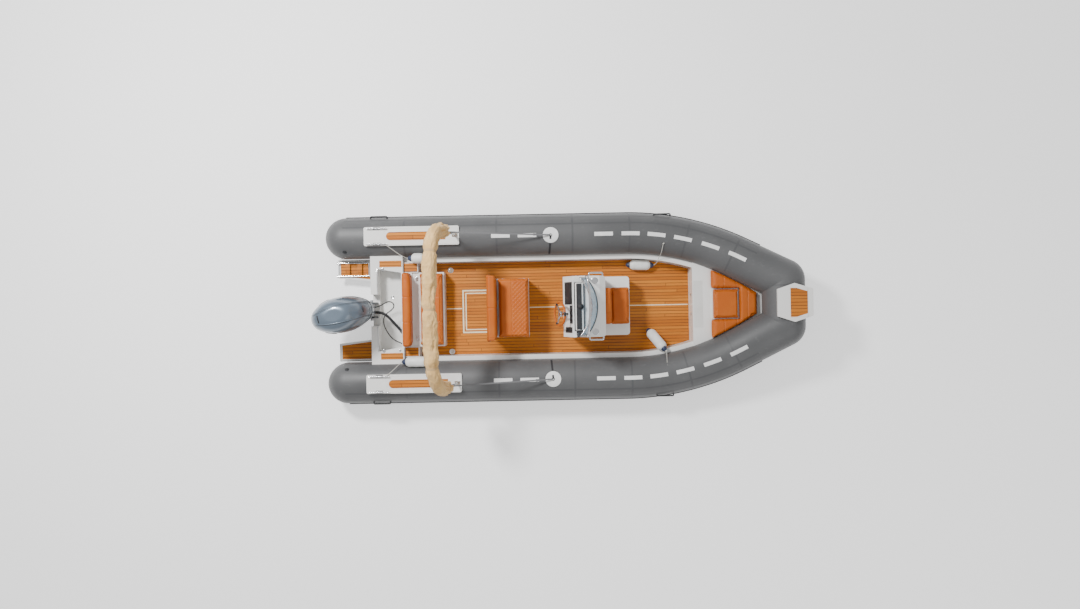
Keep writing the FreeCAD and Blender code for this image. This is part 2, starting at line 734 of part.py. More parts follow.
def make_helm_cushion():
    """Seat pad on the helm lid."""
    z = HELM_TOP_Z + LID_THICK + SKIN_GAP
    return rounded_box(HELM_BACK_FWD_X + 6, HELM_FWD_X + 20, -HELM_HALF - 20, HELM_HALF + 20,
                       z, z + HELM_PAD, 34)


def make_helm_back():
    """Moulded shell of the helm backrest."""
    shell = box(HELM_AFT_X, HELM_AFT_X + 30, -HELM_HALF, HELM_HALF, HELM_TOP_Z, HELM_BACK_TOP_Z - 70)
    foot = box(HELM_AFT_X + 30, HELM_BACK_FWD_X, -HELM_HALF, HELM_HALF, HELM_TOP_Z, HELM_TOP_Z + 16)
    return shell.fuse(foot)


def make_helm_back_cushion():
    """Padded backrest that wraps over its shell."""
    z0 = HELM_TOP_Z + 16 + SKIN_GAP
    pad = rounded_box(HELM_BACK_AFT_X, HELM_BACK_FWD_X, -HELM_BACK_HALF, HELM_BACK_HALF,
                      z0, HELM_BACK_TOP_Z, 40)
    slot = box(HELM_BACK_AFT_X - 10, HELM_AFT_X + 30 + SKIN_GAP, -HELM_HALF - SKIN_GAP,
               HELM_HALF + SKIN_GAP, z0 - 1, HELM_BACK_TOP_Z - 70 + SKIN_GAP)
    return pad.cut(slot)


# Console

def make_console_body():
    """Console moulding with the step of its front seat and the locker beneath it."""
    outline = (
        (CONSOLE_BASE_AFT_X, FLOOR_Z), (CONSOLE_FWD_X, FLOOR_Z), (CONSOLE_FWD_X, CONSOLE_SEAT_Z),
        (CONSOLE_BACK_X, CONSOLE_SEAT_Z), (CONSOLE_BACK_X, CONSOLE_TOP_Z - 60),
        (CONSOLE_BACK_X - 85, CONSOLE_TOP_Z), DASH_HIGH, DASH_LOW,
        (CONSOLE_BASE_AFT_X, DASH_LOW[1] - 60),
    )
    body = plate_xz(outline, -CONSOLE_HALF, CONSOLE_HALF)
    corners = [edge for edge in body.Edges if abs(edge.tangentAt(0).z) > 0.99]
    body = body.makeFillet(45, corners)
    store = box(CONSOLE_BACK_X + 105, CONSOLE_FWD_X - PANEL_WALL, -CONSOLE_SEAT_HALF + PANEL_WALL,
                CONSOLE_SEAT_HALF - PANEL_WALL, FLOOR_Z + PANEL_WALL, CONSOLE_SEAT_Z)
    return body.cut(store)


def make_dash_binnacle():
    """Instrument hood on the console top."""
    outline = ((480, CONSOLE_TOP_Z), (610, CONSOLE_TOP_Z), (600, CONSOLE_TOP_Z + 50),
               (520, CONSOLE_TOP_Z + 62))
    hood = plate_xz(outline, -330, 330)
    return hood.makeFillet(10, hood.Edges)


def make_windscreen():
    """Curved, raked windscreen."""
    def band(shrink):
        arc = Part.Arc(V(SCREEN_END_X, -SCREEN_HALF + shrink, CONSOLE_TOP_Z),
                       V(SCREEN_MID_X - shrink, 0, CONSOLE_TOP_Z),
                       V(SCREEN_END_X, SCREEN_HALF - shrink, CONSOLE_TOP_Z))
        return arc.toShape()
    outer = band(0)
    inner = band(SCREEN_THICK)
    ends = [Part.LineSegment(outer.Vertexes[i].Point, inner.Vertexes[i].Point).toShape() for i in (0, 1)]
    face = Part.Face(Part.Wire([outer, ends[1], inner, ends[0]]))
    return face.extrude(V(-SCREEN_RAKE, 0, SCREEN_HEIGHT))


def make_console_rails():
    """Stainless grab rails on the console sides."""
    y0 = CONSOLE_HALF
    y1 = CONSOLE_HALF + 42
    z = CONSOLE_TOP_Z - 80
    points = [V(690, y0, z), V(690, y1, z), V(880, y1, z), V(880, y0, z)]
    return both(pipe(points, RAIL_R, 26))


def make_throttle():
    """Remote control box with its lever on the dash."""
    base = box(500, 590, -395, -340, CONSOLE_TOP_Z, CONSOLE_TOP_Z + 85)
    arm = rod(9, V(545, -395, CONSOLE_TOP_Z + 60), V(545, -412, CONSOLE_TOP_Z + 60))
    lever = rod(9, V(545, -412, CONSOLE_TOP_Z + 52), V(515, -412, CONSOLE_TOP_Z + 185))
    grip = rod(17, V(515, -418, CONSOLE_TOP_Z + 185), V(515, -372, CONSOLE_TOP_Z + 185))
    return fuse([base, arm, lever, grip])


def wheel_axis():
    """Unit vector that points from the dash to the helmsman, and the wheel's centre."""
    rise = DASH_HIGH[1] - DASH_LOW[1]
    run = DASH_HIGH[0] - DASH_LOW[0]
    out = V(-rise, 0, run).normalize()
    foot = V((DASH_HIGH[0] + DASH_LOW[0]) / 2, WHEEL_Y, (DASH_HIGH[1] + DASH_LOW[1]) / 2)
    return out, foot


def make_steering_wheel():
    """Rim, three spokes, hub and shaft."""
    out, foot = wheel_axis()
    centre = foot + out * WHEEL_STANDOFF
    rim = Part.makeTorus(WHEEL_R - WHEEL_RIM_R, WHEEL_RIM_R, centre, out)
    hub = rod(38, centre - out * 22, centre + out * 6)
    shaft = rod(WHEEL_SHAFT_R, foot + out * SKIN_GAP, centre)
    pieces = [rim, hub, shaft]
    up = V(out.z, 0, -out.x)
    for degrees in (90, 210, 330):
        angle = math.radians(degrees)
        along = Y_AXIS * math.cos(angle) + up * math.sin(angle)
        pieces.append(rod(9, centre - out * 10, centre + along * (WHEEL_R - WHEEL_RIM_R)))
    return fuse(pieces)


def make_console_lid():
    """Lid of the console's front seat, hinged along its forward edge."""
    return box(CONSOLE_BACK_X + 95, CONSOLE_FWD_X, -CONSOLE_SEAT_HALF, CONSOLE_SEAT_HALF,
               CONSOLE_SEAT_Z, CONSOLE_SEAT_Z + LID_THICK)


def make_console_cushion():
    """Seat pad on the front seat's lid."""
    z = CONSOLE_SEAT_Z + LID_THICK + SKIN_GAP
    return rounded_box(CONSOLE_BACK_X + 97, CONSOLE_FWD_X - 3, -CONSOLE_SEAT_HALF,
                       CONSOLE_SEAT_HALF, z, z + CONSOLE_PAD, 30)


def make_console_back_cushion():
    """Back pad of the front seat."""
    return rounded_box(CONSOLE_BACK_X + SKIN_GAP, CONSOLE_BACK_X + CONSOLE_BACK_PAD,
                       -CONSOLE_SEAT_HALF, CONSOLE_SEAT_HALF, CONSOLE_SEAT_Z + SKIN_GAP,
                       CONSOLE_TOP_Z - 90, 30)


# Bow

def make_bow_moulding(space):
    """Bow step and locker moulding between the tubes."""
    room = box(BOW_STEP_AFT_X, HULL_END_X, -TUBE_Y, TUBE_Y, HULL_TOP_Z, BOW_DECK_Z)
    block = space.hull_form.common(room).cut(space.tubes_clear)
    locker = box(BOW_HATCH_AFT_X + 20, BOW_HATCH_FWD_X - 20, -BOW_HATCH_HALF + 20,
                 BOW_HATCH_HALF - 20, BOW_LOCKER_FLOOR_Z, BOW_DECK_Z)
    return block.cut(locker)


def make_bow_hatch():
    """Bow locker lid, hinged along its aft edge."""
    return box(BOW_HATCH_AFT_X, BOW_HATCH_FWD_X, -BOW_HATCH_HALF, BOW_HATCH_HALF,
               BOW_DECK_Z, BOW_DECK_Z + LID_THICK)


def make_bow_hatch_cushion():
    """Middle bow pad on the locker lid."""
    z = BOW_DECK_Z + LID_THICK + SKIN_GAP
    return rounded_box(BOW_HATCH_AFT_X + 2, BOW_HATCH_FWD_X - 2, -BOW_HATCH_HALF, BOW_HATCH_HALF,
                       z, z + BOW_PAD, 24)


def make_bow_cushions(space):
    """Fixed bow pads: one on each side of the lid and one ahead of it."""
    z0 = BOW_DECK_Z + SKIN_GAP
    z1 = BOW_DECK_Z + LID_THICK + BOW_PAD
    region = between_tubes(TUBE_R + 6)
    room = box(BOW_PAD_AFT_X, BOW_PAD_FWD_X, -TUBE_Y, TUBE_Y, z0, z1)
    pad = region.common(room).cut(tube_ring(TUBE_R + 4))
    mid = box(BOW_PAD_AFT_X - 5, BOW_HATCH_FWD_X + 8, -BOW_HATCH_HALF - 8, BOW_HATCH_HALF + 8, 0, 900)
    return pad.cut(mid)


def make_bow_plate(space):
    """Six-sided step on the nose, standing on a saddle over the bow tube."""
    aft, middle, fwd = NOSE_X - 180, NOSE_X + 60, NOSE_X + 318
    outline = ((aft, -190), (middle, -270), (fwd, -190), (fwd, 190), (middle, 270), (aft, 190))
    top = plate_xy(outline, BOW_PLATE_Z - BOW_PLATE_THICK, BOW_PLATE_Z)
    neck_aft, neck_fwd = NOSE_X - 135, NOSE_X + 180
    neck = ((neck_aft, -160), (middle, -215), (neck_fwd, -160), (neck_fwd, 160), (middle, 215), (neck_aft, 160))
    saddle = plate_xy(neck, NOSE_Z + 150, BOW_PLATE_Z - BOW_PLATE_THICK)
    return top.fuse(saddle).cut(space.tubes_clear)


# Sunshade

def arch_point(y, rise):
    """Place on the sunshade arch: across the boat and up along its lean."""
    lean = math.radians(ARCH_LEAN)
    return V(ARCH_X - rise * math.sin(lean), y, ARCH_Z + rise * math.cos(lean))


def arch_points(start):
    """Route of the arch over the boat, from one side's start height to the other's."""
    half = ((TUBE_Y, start), (TUBE_Y + 6, ARCH_SHOULDER), (ARCH_CORNER_Y, ARCH_CORNER))
    port = [arch_point(y, rise) for y, rise in half]
    starboard = [arch_point(-y, rise) for y, rise in reversed(half)]
    return port + [arch_point(0, ARCH_CROWN)] + starboard


def make_arch_hinges():
    """Deck hinges of the sunshade on the step plates."""
    base = box(ARCH_X - 40, ARCH_X + 40, TUBE_Y - 24, TUBE_Y + 24, STEP_TOP_Z, STEP_TOP_Z + 8)
    pieces = [base]
    for y in (TUBE_Y - 15, TUBE_Y + 9):
        ear = box(ARCH_X - 16, ARCH_X + 16, y, y + 6, STEP_TOP_Z + 8, ARCH_Z + 14)
        pieces.append(ear)
    pin = rod(4, V(ARCH_X, TUBE_Y - 15, ARCH_Z), V(ARCH_X, TUBE_Y + 15, ARCH_Z))
    return both(fuse(pieces + [pin]))


def make_arch_legs():
    """Legs of the folded sunshade bow, from the hinge eyes up into the boot."""
    foot = arch_point(TUBE_Y, 0)
    knee = arch_point(TUBE_Y, 34)
    top = arch_point(TUBE_Y + 6 * ARCH_BOOT_START / ARCH_SHOULDER, ARCH_BOOT_START)
    eye = box(ARCH_X - 11, ARCH_X + 11, TUBE_Y - 7, TUBE_Y + 7, ARCH_Z - 13, ARCH_Z + 20)
    eye = eye.rotate(foot, Y_AXIS, -ARCH_LEAN)
    bore = rod(4 + PIN_GAP, V(ARCH_X, TUBE_Y - 20, ARCH_Z), V(ARCH_X, TUBE_Y + 20, ARCH_Z))
    leg = rod(ARCH_LEG_R, arch_point(TUBE_Y, 14), top)
    clear = box(ARCH_X - 60, ARCH_X + 60, TUBE_Y + 7.5, TUBE_Y + 40, ARCH_Z - 60, ARCH_Z + 24)
    clear_in = box(ARCH_X - 60, ARCH_X + 60, TUBE_Y - 40, TUBE_Y - 7.5, ARCH_Z - 60, ARCH_Z + 24)
    return both(fuse([eye, leg]).cut([bore, clear, clear_in]))


def make_sunshade_boot():
    """Folded canopy in its cover, over the top of the arch."""
    points = arch_points(ARCH_BOOT_START + SKIN_GAP)
    return pipe(points, ARCH_BOOT_R, 420)


def make_stays():
    """Straps from the arch forward to the round patches on the tubes."""
    high = arch_point(TUBE_Y + 4, ARCH_BOOT_START - 14) + V(ARCH_LEG_R + STAY_R - 1.5, 0, 0)
    drop = TUBE_Z + math.sqrt((TUBE_R + 16) ** 2 - (TUBE_Y - STAY_PATCH_Y) ** 2)
    low = V(STAY_PATCH_X, STAY_PATCH_Y, drop + STAY_R + 1)
    return both(rod(STAY_R, high, low))


# Fittings on the tubes

def make_tube_fittings(space):
    """Round strap patches and black grab handles bonded to the tubes."""
    pieces = []
    disc = rod(115, V(STAY_PATCH_X, STAY_PATCH_Y, TUBE_Z + TUBE_R / 2), V(STAY_PATCH_X, STAY_PATCH_Y, TUBE_Z + TUBE_R + 80))
    shell = tube_ring(TUBE_R + 6).cut(space.tubes_clear)
    patch = disc.common(shell)
    ring = Part.makeTorus(18, 4, V(STAY_PATCH_X, STAY_PATCH_Y, TUBE_Z + TUBE_R + 10), Z_AXIS)
    pieces.append(patch.fuse(ring))
    angle = math.radians(24)
    out = V(0, math.cos(angle), math.sin(angle))
    for x in (CLEAT_X, BOW_HANDLE_X):
        base = tube_centre_at(x) + out * (TUBE_R + SKIN_GAP)
        foot = [V(x + step, base.y, base.z) for step in (-HANDLE_HALF, HANDLE_HALF)]
        grip = [foot[0] - out * 6, foot[0] + out * 30, foot[1] + out * 30, foot[1] - out * 6]
        pieces.append(pipe(grip, 11, 24).cut(space.tubes_clear))
    return both(Part.makeCompound(pieces))


def fender(start, end):
    """Inflated fender with rounded ends and its rope eyes."""
    along = (end - start).normalize()
    near = start + along * FENDER_R
    far = end - along * FENDER_R
    body = rod(FENDER_R, near, far)
    caps = [Part.makeSphere(FENDER_R, near), Part.makeSphere(FENDER_R, far)]
    eye = rod(20, end - along * 8, end + along * 34)
    return fuse([body] + caps + [eye])


def beside_tube(x, angle):
    """Middle of a fender that leans on the inner side of the port tube."""
    reach = TUBE_R + FENDER_R + SKIN_GAP
    return V(x, TUBE_Y - reach * math.cos(angle), TUBE_Z + reach * math.sin(angle))


def fender_ends():
    """First and last point of each fender."""
    port_angle = math.radians(32.65)
    starboard_angle = math.radians(35.4)
    port_x = (-1640, -1850)
    starboard_x = (-1630, -1960)
    floor_z = DECK_Z + FENDER_R + 0.5
    return (
        tuple(beside_tube(x, port_angle) for x in port_x),
        tuple(mirror_point(beside_tube(x, starboard_angle)) for x in starboard_x),
        (V(1330, 603, floor_z), V(1655, 592, floor_z)),
        (V(1610, -384.5, floor_z + 4.5), V(1790, -634.5, floor_z + 264.5)),
    )


def make_fenders():
    """The four fenders stowed inside the tubes."""
    return Part.makeCompound([fender(start, end) for start, end in fender_ends()])


# Outboard engine. Its steered pieces are drawn straight, then turned about the steering axis.

def steered(shape):
    """Turn a piece to the steering angle that the engine rests at."""
    return shape.rotate(V(STEER_X, 0, 0), Z_AXIS, STEER_REST_DEG)


def make_clamp_bracket():
    """Two clamps hooked over the transom, with the eyes of the tilt tube."""
    pieces = []
    for side in SIDES:
        y0 = 88 if side > 0 else -116
        outline = ((TRANSOM_X, -60), (TRANSOM_X, CUTOUT_Z), (TRANSOM_X + 75, CUTOUT_Z),
                   (TRANSOM_X + 75, CUTOUT_Z + 45), (TILT_X + 45, TILT_Z + 30), (TILT_X - 40, TILT_Z + 30),
                   (TRANSOM_X - 62, CUTOUT_Z - 30), (TRANSOM_X - 48, -60))
        cheek = plate_xz(outline, y0, y0 + 28)
        bore = rod(22 + PIN_GAP, V(TILT_X, y0 - 1, TILT_Z), V(TILT_X, y0 + 29, TILT_Z))
        pieces.append(cheek.cut(bore))
    tie = box(TRANSOM_X - 40, TRANSOM_X, -88, 88, -50, -10)
    return fuse(pieces + [tie])


def make_swivel_bracket():
    """Tilt tube, arm and the vertical steering tube."""
    tilt_tube = rod(22, V(TILT_X, -150, TILT_Z), V(TILT_X, 150, TILT_Z))
    sleeve = rod(SLEEVE_R, V(TILT_X, -86, TILT_Z), V(TILT_X, 86, TILT_Z))
    arm = plate_xz(((TILT_X, TILT_Z + 20), (STEER_X + 66, SWIVEL_TOP_Z), (STEER_X, SWIVEL_TOP_Z),
                    (STEER_X, SWIVEL_TOP_Z - 90), (TILT_X, TILT_Z - 34)), -60, 60)
    tube = rod(SWIVEL_R, V(STEER_X, 0, SWIVEL_LOW_Z), V(STEER_X, 0, SWIVEL_TOP_Z))
    web = plate_xz(((STEER_X, SWIVEL_TOP_Z - 90), (STEER_X + 36, SWIVEL_TOP_Z - 70),
                    (STEER_X + 36, 60), (STEER_X, SWIVEL_LOW_Z)), -14, 14)
    bracket = fuse([tilt_tube, sleeve, arm, tube, web])
    for route, radius in ((HOSE_ROUTE, HOSE_R), (CABLE_ROUTE, CABLE_R)):
        exit_point = V(*route[0])
        ahead = (V(*route[1]) - exit_point).normalize()
        socket = rod(radius + SOCKET_WALL, exit_point - ahead * (SLEEVE_R + 8), exit_point)
        bracket = bracket.fuse(socket)
    return bracket


def make_line_glands():
    """Glands of the hose and the cable on the well's forward wall."""
    behind = box(MOTOR_WELL_FWD_X, 0, -TUBE_Y, TUBE_Y, 0, 900)
    glands = []
    for route, radius in ((HOSE_ROUTE, HOSE_R), (CABLE_ROUTE, CABLE_R)):
        end = V(*route[-1])
        ahead = (end - V(*route[-2])).normalize()
        gland = rod(radius + SOCKET_WALL, end, end + ahead * 3 * GLAND_LENGTH)
        glands.append(gland.cut(behind))
    return Part.makeCompound(glands)


def make_engine_leg():
    """Steering yokes and the exhaust housing down to the vent plate."""
    top_yoke = rod(54, V(STEER_X, 0, SWIVEL_TOP_Z + SKIN_GAP), V(STEER_X, 0, SWIVEL_TOP_Z + 42))
    top_yoke = top_yoke.fuse(box(STEER_X - 90, STEER_X, -54, 54, SWIVEL_TOP_Z + SKIN_GAP, SWIVEL_TOP_Z + 42))
    low_yoke = box(STEER_X - 90, STEER_X + 40, -42, 42, SWIVEL_LOW_Z - 45, SWIVEL_LOW_Z - SKIN_GAP)
    # height, centre x, half length, half width
    sections = (
        (VENT_PLATE_Z, STEER_X - 200, 150, 48),
        (-60, STEER_X - 195, 135, 50),
        (250, STEER_X - 200, 145, 66),
        (430, STEER_X - 205, 158, 92),
        (500, STEER_X - 205, 200, 130),
    )
    rings = [oval(x, z, length, width, 0.7) for z, x, length, width in sections]
    housing = Part.makeLoft(rings, True, False)
    plate = Part.Face(oval(STEER_X - 245, VENT_PLATE_Z - 10, 240, 120, 0.6)).extrude(V(0, 0, 10))
    shape = fuse([top_yoke, low_yoke, housing, plate])
    return steered(shape)


def make_cowl_apron():
    """Lower cowling round the powerhead."""
    sections = (
        (500, STEER_X - 205, 300, 150),
        (545, STEER_X - 208, 375, 200),
        (COWL_BASE_Z, STEER_X - 210, 400, 218),
    )
    rings = [oval(x, z, length, width, 0.72) for z, x, length, width in sections]
    return steered(Part.makeLoft(rings, True, False))


def make_cowl():
    """Engine cover."""
    sections = (
        (COWL_BASE_Z, STEER_X - 210, 400, 218),
        (760, STEER_X - 218, 412, 245),
        (900, STEER_X - 236, 397, 250),
        (1040, STEER_X - 254, 354, 236),
        (1140, STEER_X - 264, 286, 200),
        (1200, STEER_X - 258, 205, 140),
        (1222, STEER_X - 255, 110, 74),
    )
    rings = [oval(x, z, length, width, 0.72) for z, x, length, width in sections]
    return steered(Part.makeLoft(rings, True, False))


def make_gearcase():
    """Torpedo, strut and skeg below the vent plate."""
    low = VENT_PLATE_Z - 10
    strut = Part.makeLoft([oval(STEER_X - 200, low, 150, 40, 0.5),
                           oval(STEER_X - 200, PROP_AXIS_Z + 30, 150, 34, 0.5)], True, True)
    body = rod(GEARCASE_R, V(GEARCASE_NOSE_X, 0, PROP_AXIS_Z), V(PROP_FRONT_X, 0, PROP_AXIS_Z))
    # distance ahead of the torpedo's shoulder, share of its radius
    nose_sections = ((0, 1.0), (70, 0.8), (130, 0.25))
    nose = Part.makeLoft([Part.Wire(Part.makeCircle(GEARCASE_R * share, V(GEARCASE_NOSE_X + ahead, 0, PROP_AXIS_Z),
                                                    X_AXIS)) for ahead, share in nose_sections], True, False)
    skeg_low = PROP_AXIS_Z - PROP_R
    skeg = plate_xz(((GEARCASE_NOSE_X, PROP_AXIS_Z), (GEARCASE_NOSE_X - 300, PROP_AXIS_Z),
                     (GEARCASE_NOSE_X - 280, skeg_low), (GEARCASE_NOSE_X - 170, skeg_low - 5)), -7, 7)
    shape = fuse([strut, body, nose, skeg])
    return steered(shape)


def make_propeller():
    """Three-bladed propeller on its hub."""
    front = PROP_FRONT_X - SKIN_GAP
    axis_point = V(front, 0, PROP_AXIS_Z)
    hub = rod(48, axis_point, axis_point - X_AXIS * 110)
    cone = Part.makeCone(48, 30, 30, axis_point - X_AXIS * 110, X_AXIS * -1)
    pieces = [hub, cone]
    for index in range(3):
        # radius from the axis, half chord, pitch angle in degrees
        sections = ((40, 38, 58), (100, 62, 40), (150, 48, 30), (PROP_R, 16, 26))
        rings = []
        for radius, chord, pitch in sections:
            angle = math.radians(pitch)
            along = V(math.sin(angle), math.cos(angle), 0) * chord
            thick = V(math.cos(angle), -math.sin(angle), 0) * 4
            centre = V(front - 58, 0, PROP_AXIS_Z + radius)
            points = [centre + along, centre + thick, centre - along, centre - thick]
            rings.append(Part.Wire(Part.makePolygon(points + points[:1])))
        blade = Part.makeLoft(rings, True, True)
        pieces.append(blade.rotate(axis_point, X_AXIS, 120 * index + 20))
    return steered(fuse(pieces))




def write(name, shape):
    """Check a piece and write it as one STEP file."""
    if not shape.isValid():
        raise ValueError("bad shape: " + name)
    solids = shape.Solids
    if not solids:
        raise ValueError("no solid: " + name)
    body = solids[0] if len(solids) == 1 else Part.makeCompound(solids)
    body.exportStep("parts/" + name + ".step")
    print(name, len(solids), "solids", round(shape.Volume / 1e6, 2), "litres")


def main():
    """Build every piece and write its file."""
    os.makedirs("parts", exist_ok=True)
    space = Space()
    port, starboard, bow = make_tubes()
    pieces = {
        "hull": make_hull(space),
        "tube_port": port,
        "tube_starboard": starboard,
        "tube_bow": bow,
        "rub_strakes": make_rub_strakes(space),
        "floor_pan": make_floor_pan(space),
        "side_coamings": make_side_coamings(space),
        "deck_teak": make_deck_teak(space),
        "floor_hatch": make_floor_hatch(),
        "stern_moulding": make_stern_moulding(space),
        "swim_platforms": make_swim_platforms(),
        "swim_ladder": make_swim_ladder(),
        "teak_panels": make_teak_panels(),
        "step_plates": make_step_plates(space),
        "cleats": make_cleats(),
        "mooring_eyes": make_mooring_eyes(space),
        "tube_fittings": make_tube_fittings(space),
        "fenders": make_fenders(),
        "bench_base": make_bench_base(),
        "bench_lid": make_bench_lid(),
        "bench_cushion": make_bench_cushion(),
        "bench_back": make_bench_back(),
        "bench_back_cushion": make_bench_back_cushion(),
        "helm_base": make_helm_base(),
        "helm_lid": make_helm_lid(),
        "helm_cushion": make_helm_cushion(),
        "helm_back": make_helm_back(),
        "helm_back_cushion": make_helm_back_cushion(),
        "console_body": make_console_body(),
        "dash_binnacle": make_dash_binnacle(),
        "windscreen": make_windscreen(),
        "console_rails": make_console_rails(),
        "throttle": make_throttle(),
        "steering_wheel": make_steering_wheel(),
        "console_lid": make_console_lid(),
        "console_cushion": make_console_cushion(),
        "console_back_cushion": make_console_back_cushion(),
        "bow_moulding": make_bow_moulding(space),
        "bow_hatch": make_bow_hatch(),
        "bow_hatch_cushion": make_bow_hatch_cushion(),
        "bow_cushions": make_bow_cushions(space),
        "bow_plate": make_bow_plate(space),
        "arch_hinges": make_arch_hinges(),
        "arch_legs": make_arch_legs(),
        "sunshade_boot": make_sunshade_boot(),
        "stays": make_stays(),
        "clamp_bracket": make_clamp_bracket(),
        "swivel_bracket": make_swivel_bracket(),
        "line_glands": make_line_glands(),
        "rigging_hose": cord(HOSE_ROUTE, HOSE_R),
        "engine_cable": cord(CABLE_ROUTE, CABLE_R),
        "engine_leg": make_engine_leg(),
        "cowl_apron": make_cowl_apron(),
        "cowl": make_cowl(),
        "gearcase": make_gearcase(),
        "propeller": make_propeller(),
    }
    for name, shape in pieces.items():
        write(name, shape)


main()
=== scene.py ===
"""Dresses a rigid inflatable boat: finishes, soft goods, lines and small fittings on the fixed frame."""

import logging
import math
from dataclasses import dataclass
from enum import Enum
from functools import partial
from typing import Callable, Sequence

import bmesh
import bpy
from mathutils import Matrix, Vector, noise
from mathutils.bvhtree import BVHTree

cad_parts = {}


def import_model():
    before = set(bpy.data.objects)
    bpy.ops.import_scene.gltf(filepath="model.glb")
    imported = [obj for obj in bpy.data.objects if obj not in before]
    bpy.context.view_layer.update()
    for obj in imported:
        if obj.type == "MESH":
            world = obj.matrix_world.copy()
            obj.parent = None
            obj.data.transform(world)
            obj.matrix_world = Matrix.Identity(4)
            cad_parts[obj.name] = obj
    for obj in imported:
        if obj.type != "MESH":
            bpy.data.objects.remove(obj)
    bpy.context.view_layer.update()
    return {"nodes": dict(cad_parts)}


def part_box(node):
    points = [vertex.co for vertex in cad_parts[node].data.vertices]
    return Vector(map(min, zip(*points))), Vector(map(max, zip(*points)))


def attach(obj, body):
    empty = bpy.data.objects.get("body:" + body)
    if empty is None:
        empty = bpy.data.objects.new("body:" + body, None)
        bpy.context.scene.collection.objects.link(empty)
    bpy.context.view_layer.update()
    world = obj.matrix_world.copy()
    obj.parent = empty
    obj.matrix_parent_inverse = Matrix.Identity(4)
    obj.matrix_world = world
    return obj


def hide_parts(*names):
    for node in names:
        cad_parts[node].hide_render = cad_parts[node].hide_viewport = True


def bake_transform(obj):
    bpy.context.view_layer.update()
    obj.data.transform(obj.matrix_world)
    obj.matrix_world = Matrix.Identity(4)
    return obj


LOG = logging.getLogger("boat")

Colour = tuple[float, float, float]
Point = tuple[float, float, float]
Points = Sequence[Sequence[float]]
Profile = Sequence[tuple[float, float]]
Surface = Callable[[float, float, float], Vector]
UP = Vector((0, 0, 1))
SIDES = ((1, "port"), (-1, "starboard"))
ACROSS = Vector((0, 1, 0))


# Node networks

def maths(operation: str, swapped: bool = False) -> Callable[..., "Sock"]:
    """A method that joins its socket and what it is given in one Math node.

    Args:
        operation: The node's operation.
        swapped: Whether the socket comes second, as in a reflected form.

    Returns:
        The method.
    """
    def method(self: "Sock", *others: object) -> "Sock":
        values = (*others, self) if swapped else (self, *others)
        return self.net.add("ShaderNodeMath", {"operation": operation}, *values)
    return method


class Sock:
    """A node socket that takes part in Python arithmetic."""

    def __init__(self, net: "Network", link: object) -> None:
        """Wrap one output socket of a network."""
        self.net = net
        self.link = link

    __add__ = __radd__ = maths("ADD")
    __mul__ = __rmul__ = maths("MULTIPLY")
    __sub__ = maths("SUBTRACT")
    __rsub__ = maths("SUBTRACT", swapped=True)
    __truediv__ = maths("DIVIDE")
    __lt__ = maths("LESS_THAN")
    floor = maths("FLOOR")
    fract = maths("FRACT")
    sine = maths("SINE")
    absolute = maths("ABSOLUTE")

    def smooth(self, low: float, high: float) -> "Sock":
        """0 below low, 1 above high, with a smooth step between."""
        return self.net.add("ShaderNodeMapRange", {"interpolation_type": "SMOOTHSTEP"}, self, low, high)


class Network:
    """A node tree that is filled by one method."""

    def __init__(self, tree: bpy.types.NodeTree) -> None:
        """Start with a tree."""
        self.tree = tree

    def add(self, kind: str, settings: dict, *values: object, out: int = 0, **named: object) -> Sock:
        """Add a node.

        Args:
            kind: The node's type.
            settings: Properties set before its sockets.
            values: Values or sockets for the inputs in order, None to leave one.
            out: Which output to return.
            named: Values or sockets for inputs by name, with underscores for spaces.

        Returns:
            The wrapped output socket.
        """
        node = self.tree.nodes.new(kind)
        for key, value in settings.items():
            setattr(node, key, value)
        for index, value in enumerate(values):
            self.feed(node.inputs[index], value)
        for key, value in named.items():
            self.feed(node.inputs[key.replace("_", " ")], value)
        return Sock(self, node.outputs[out] if len(node.outputs) else None)

    def feed(self, target: object, value: object) -> None:
        """Link or set one input."""
        if isinstance(value, Sock):
            self.tree.links.new(value.link, target)
        elif value is not None:
            target.default_value = value

    def split(self, value: Sock) -> tuple[Sock, Sock, Sock]:
        """The three numbers of a vector."""
        link = self.add("ShaderNodeSeparateXYZ", {}, value).link
        return tuple(Sock(self, output) for output in link.node.outputs)


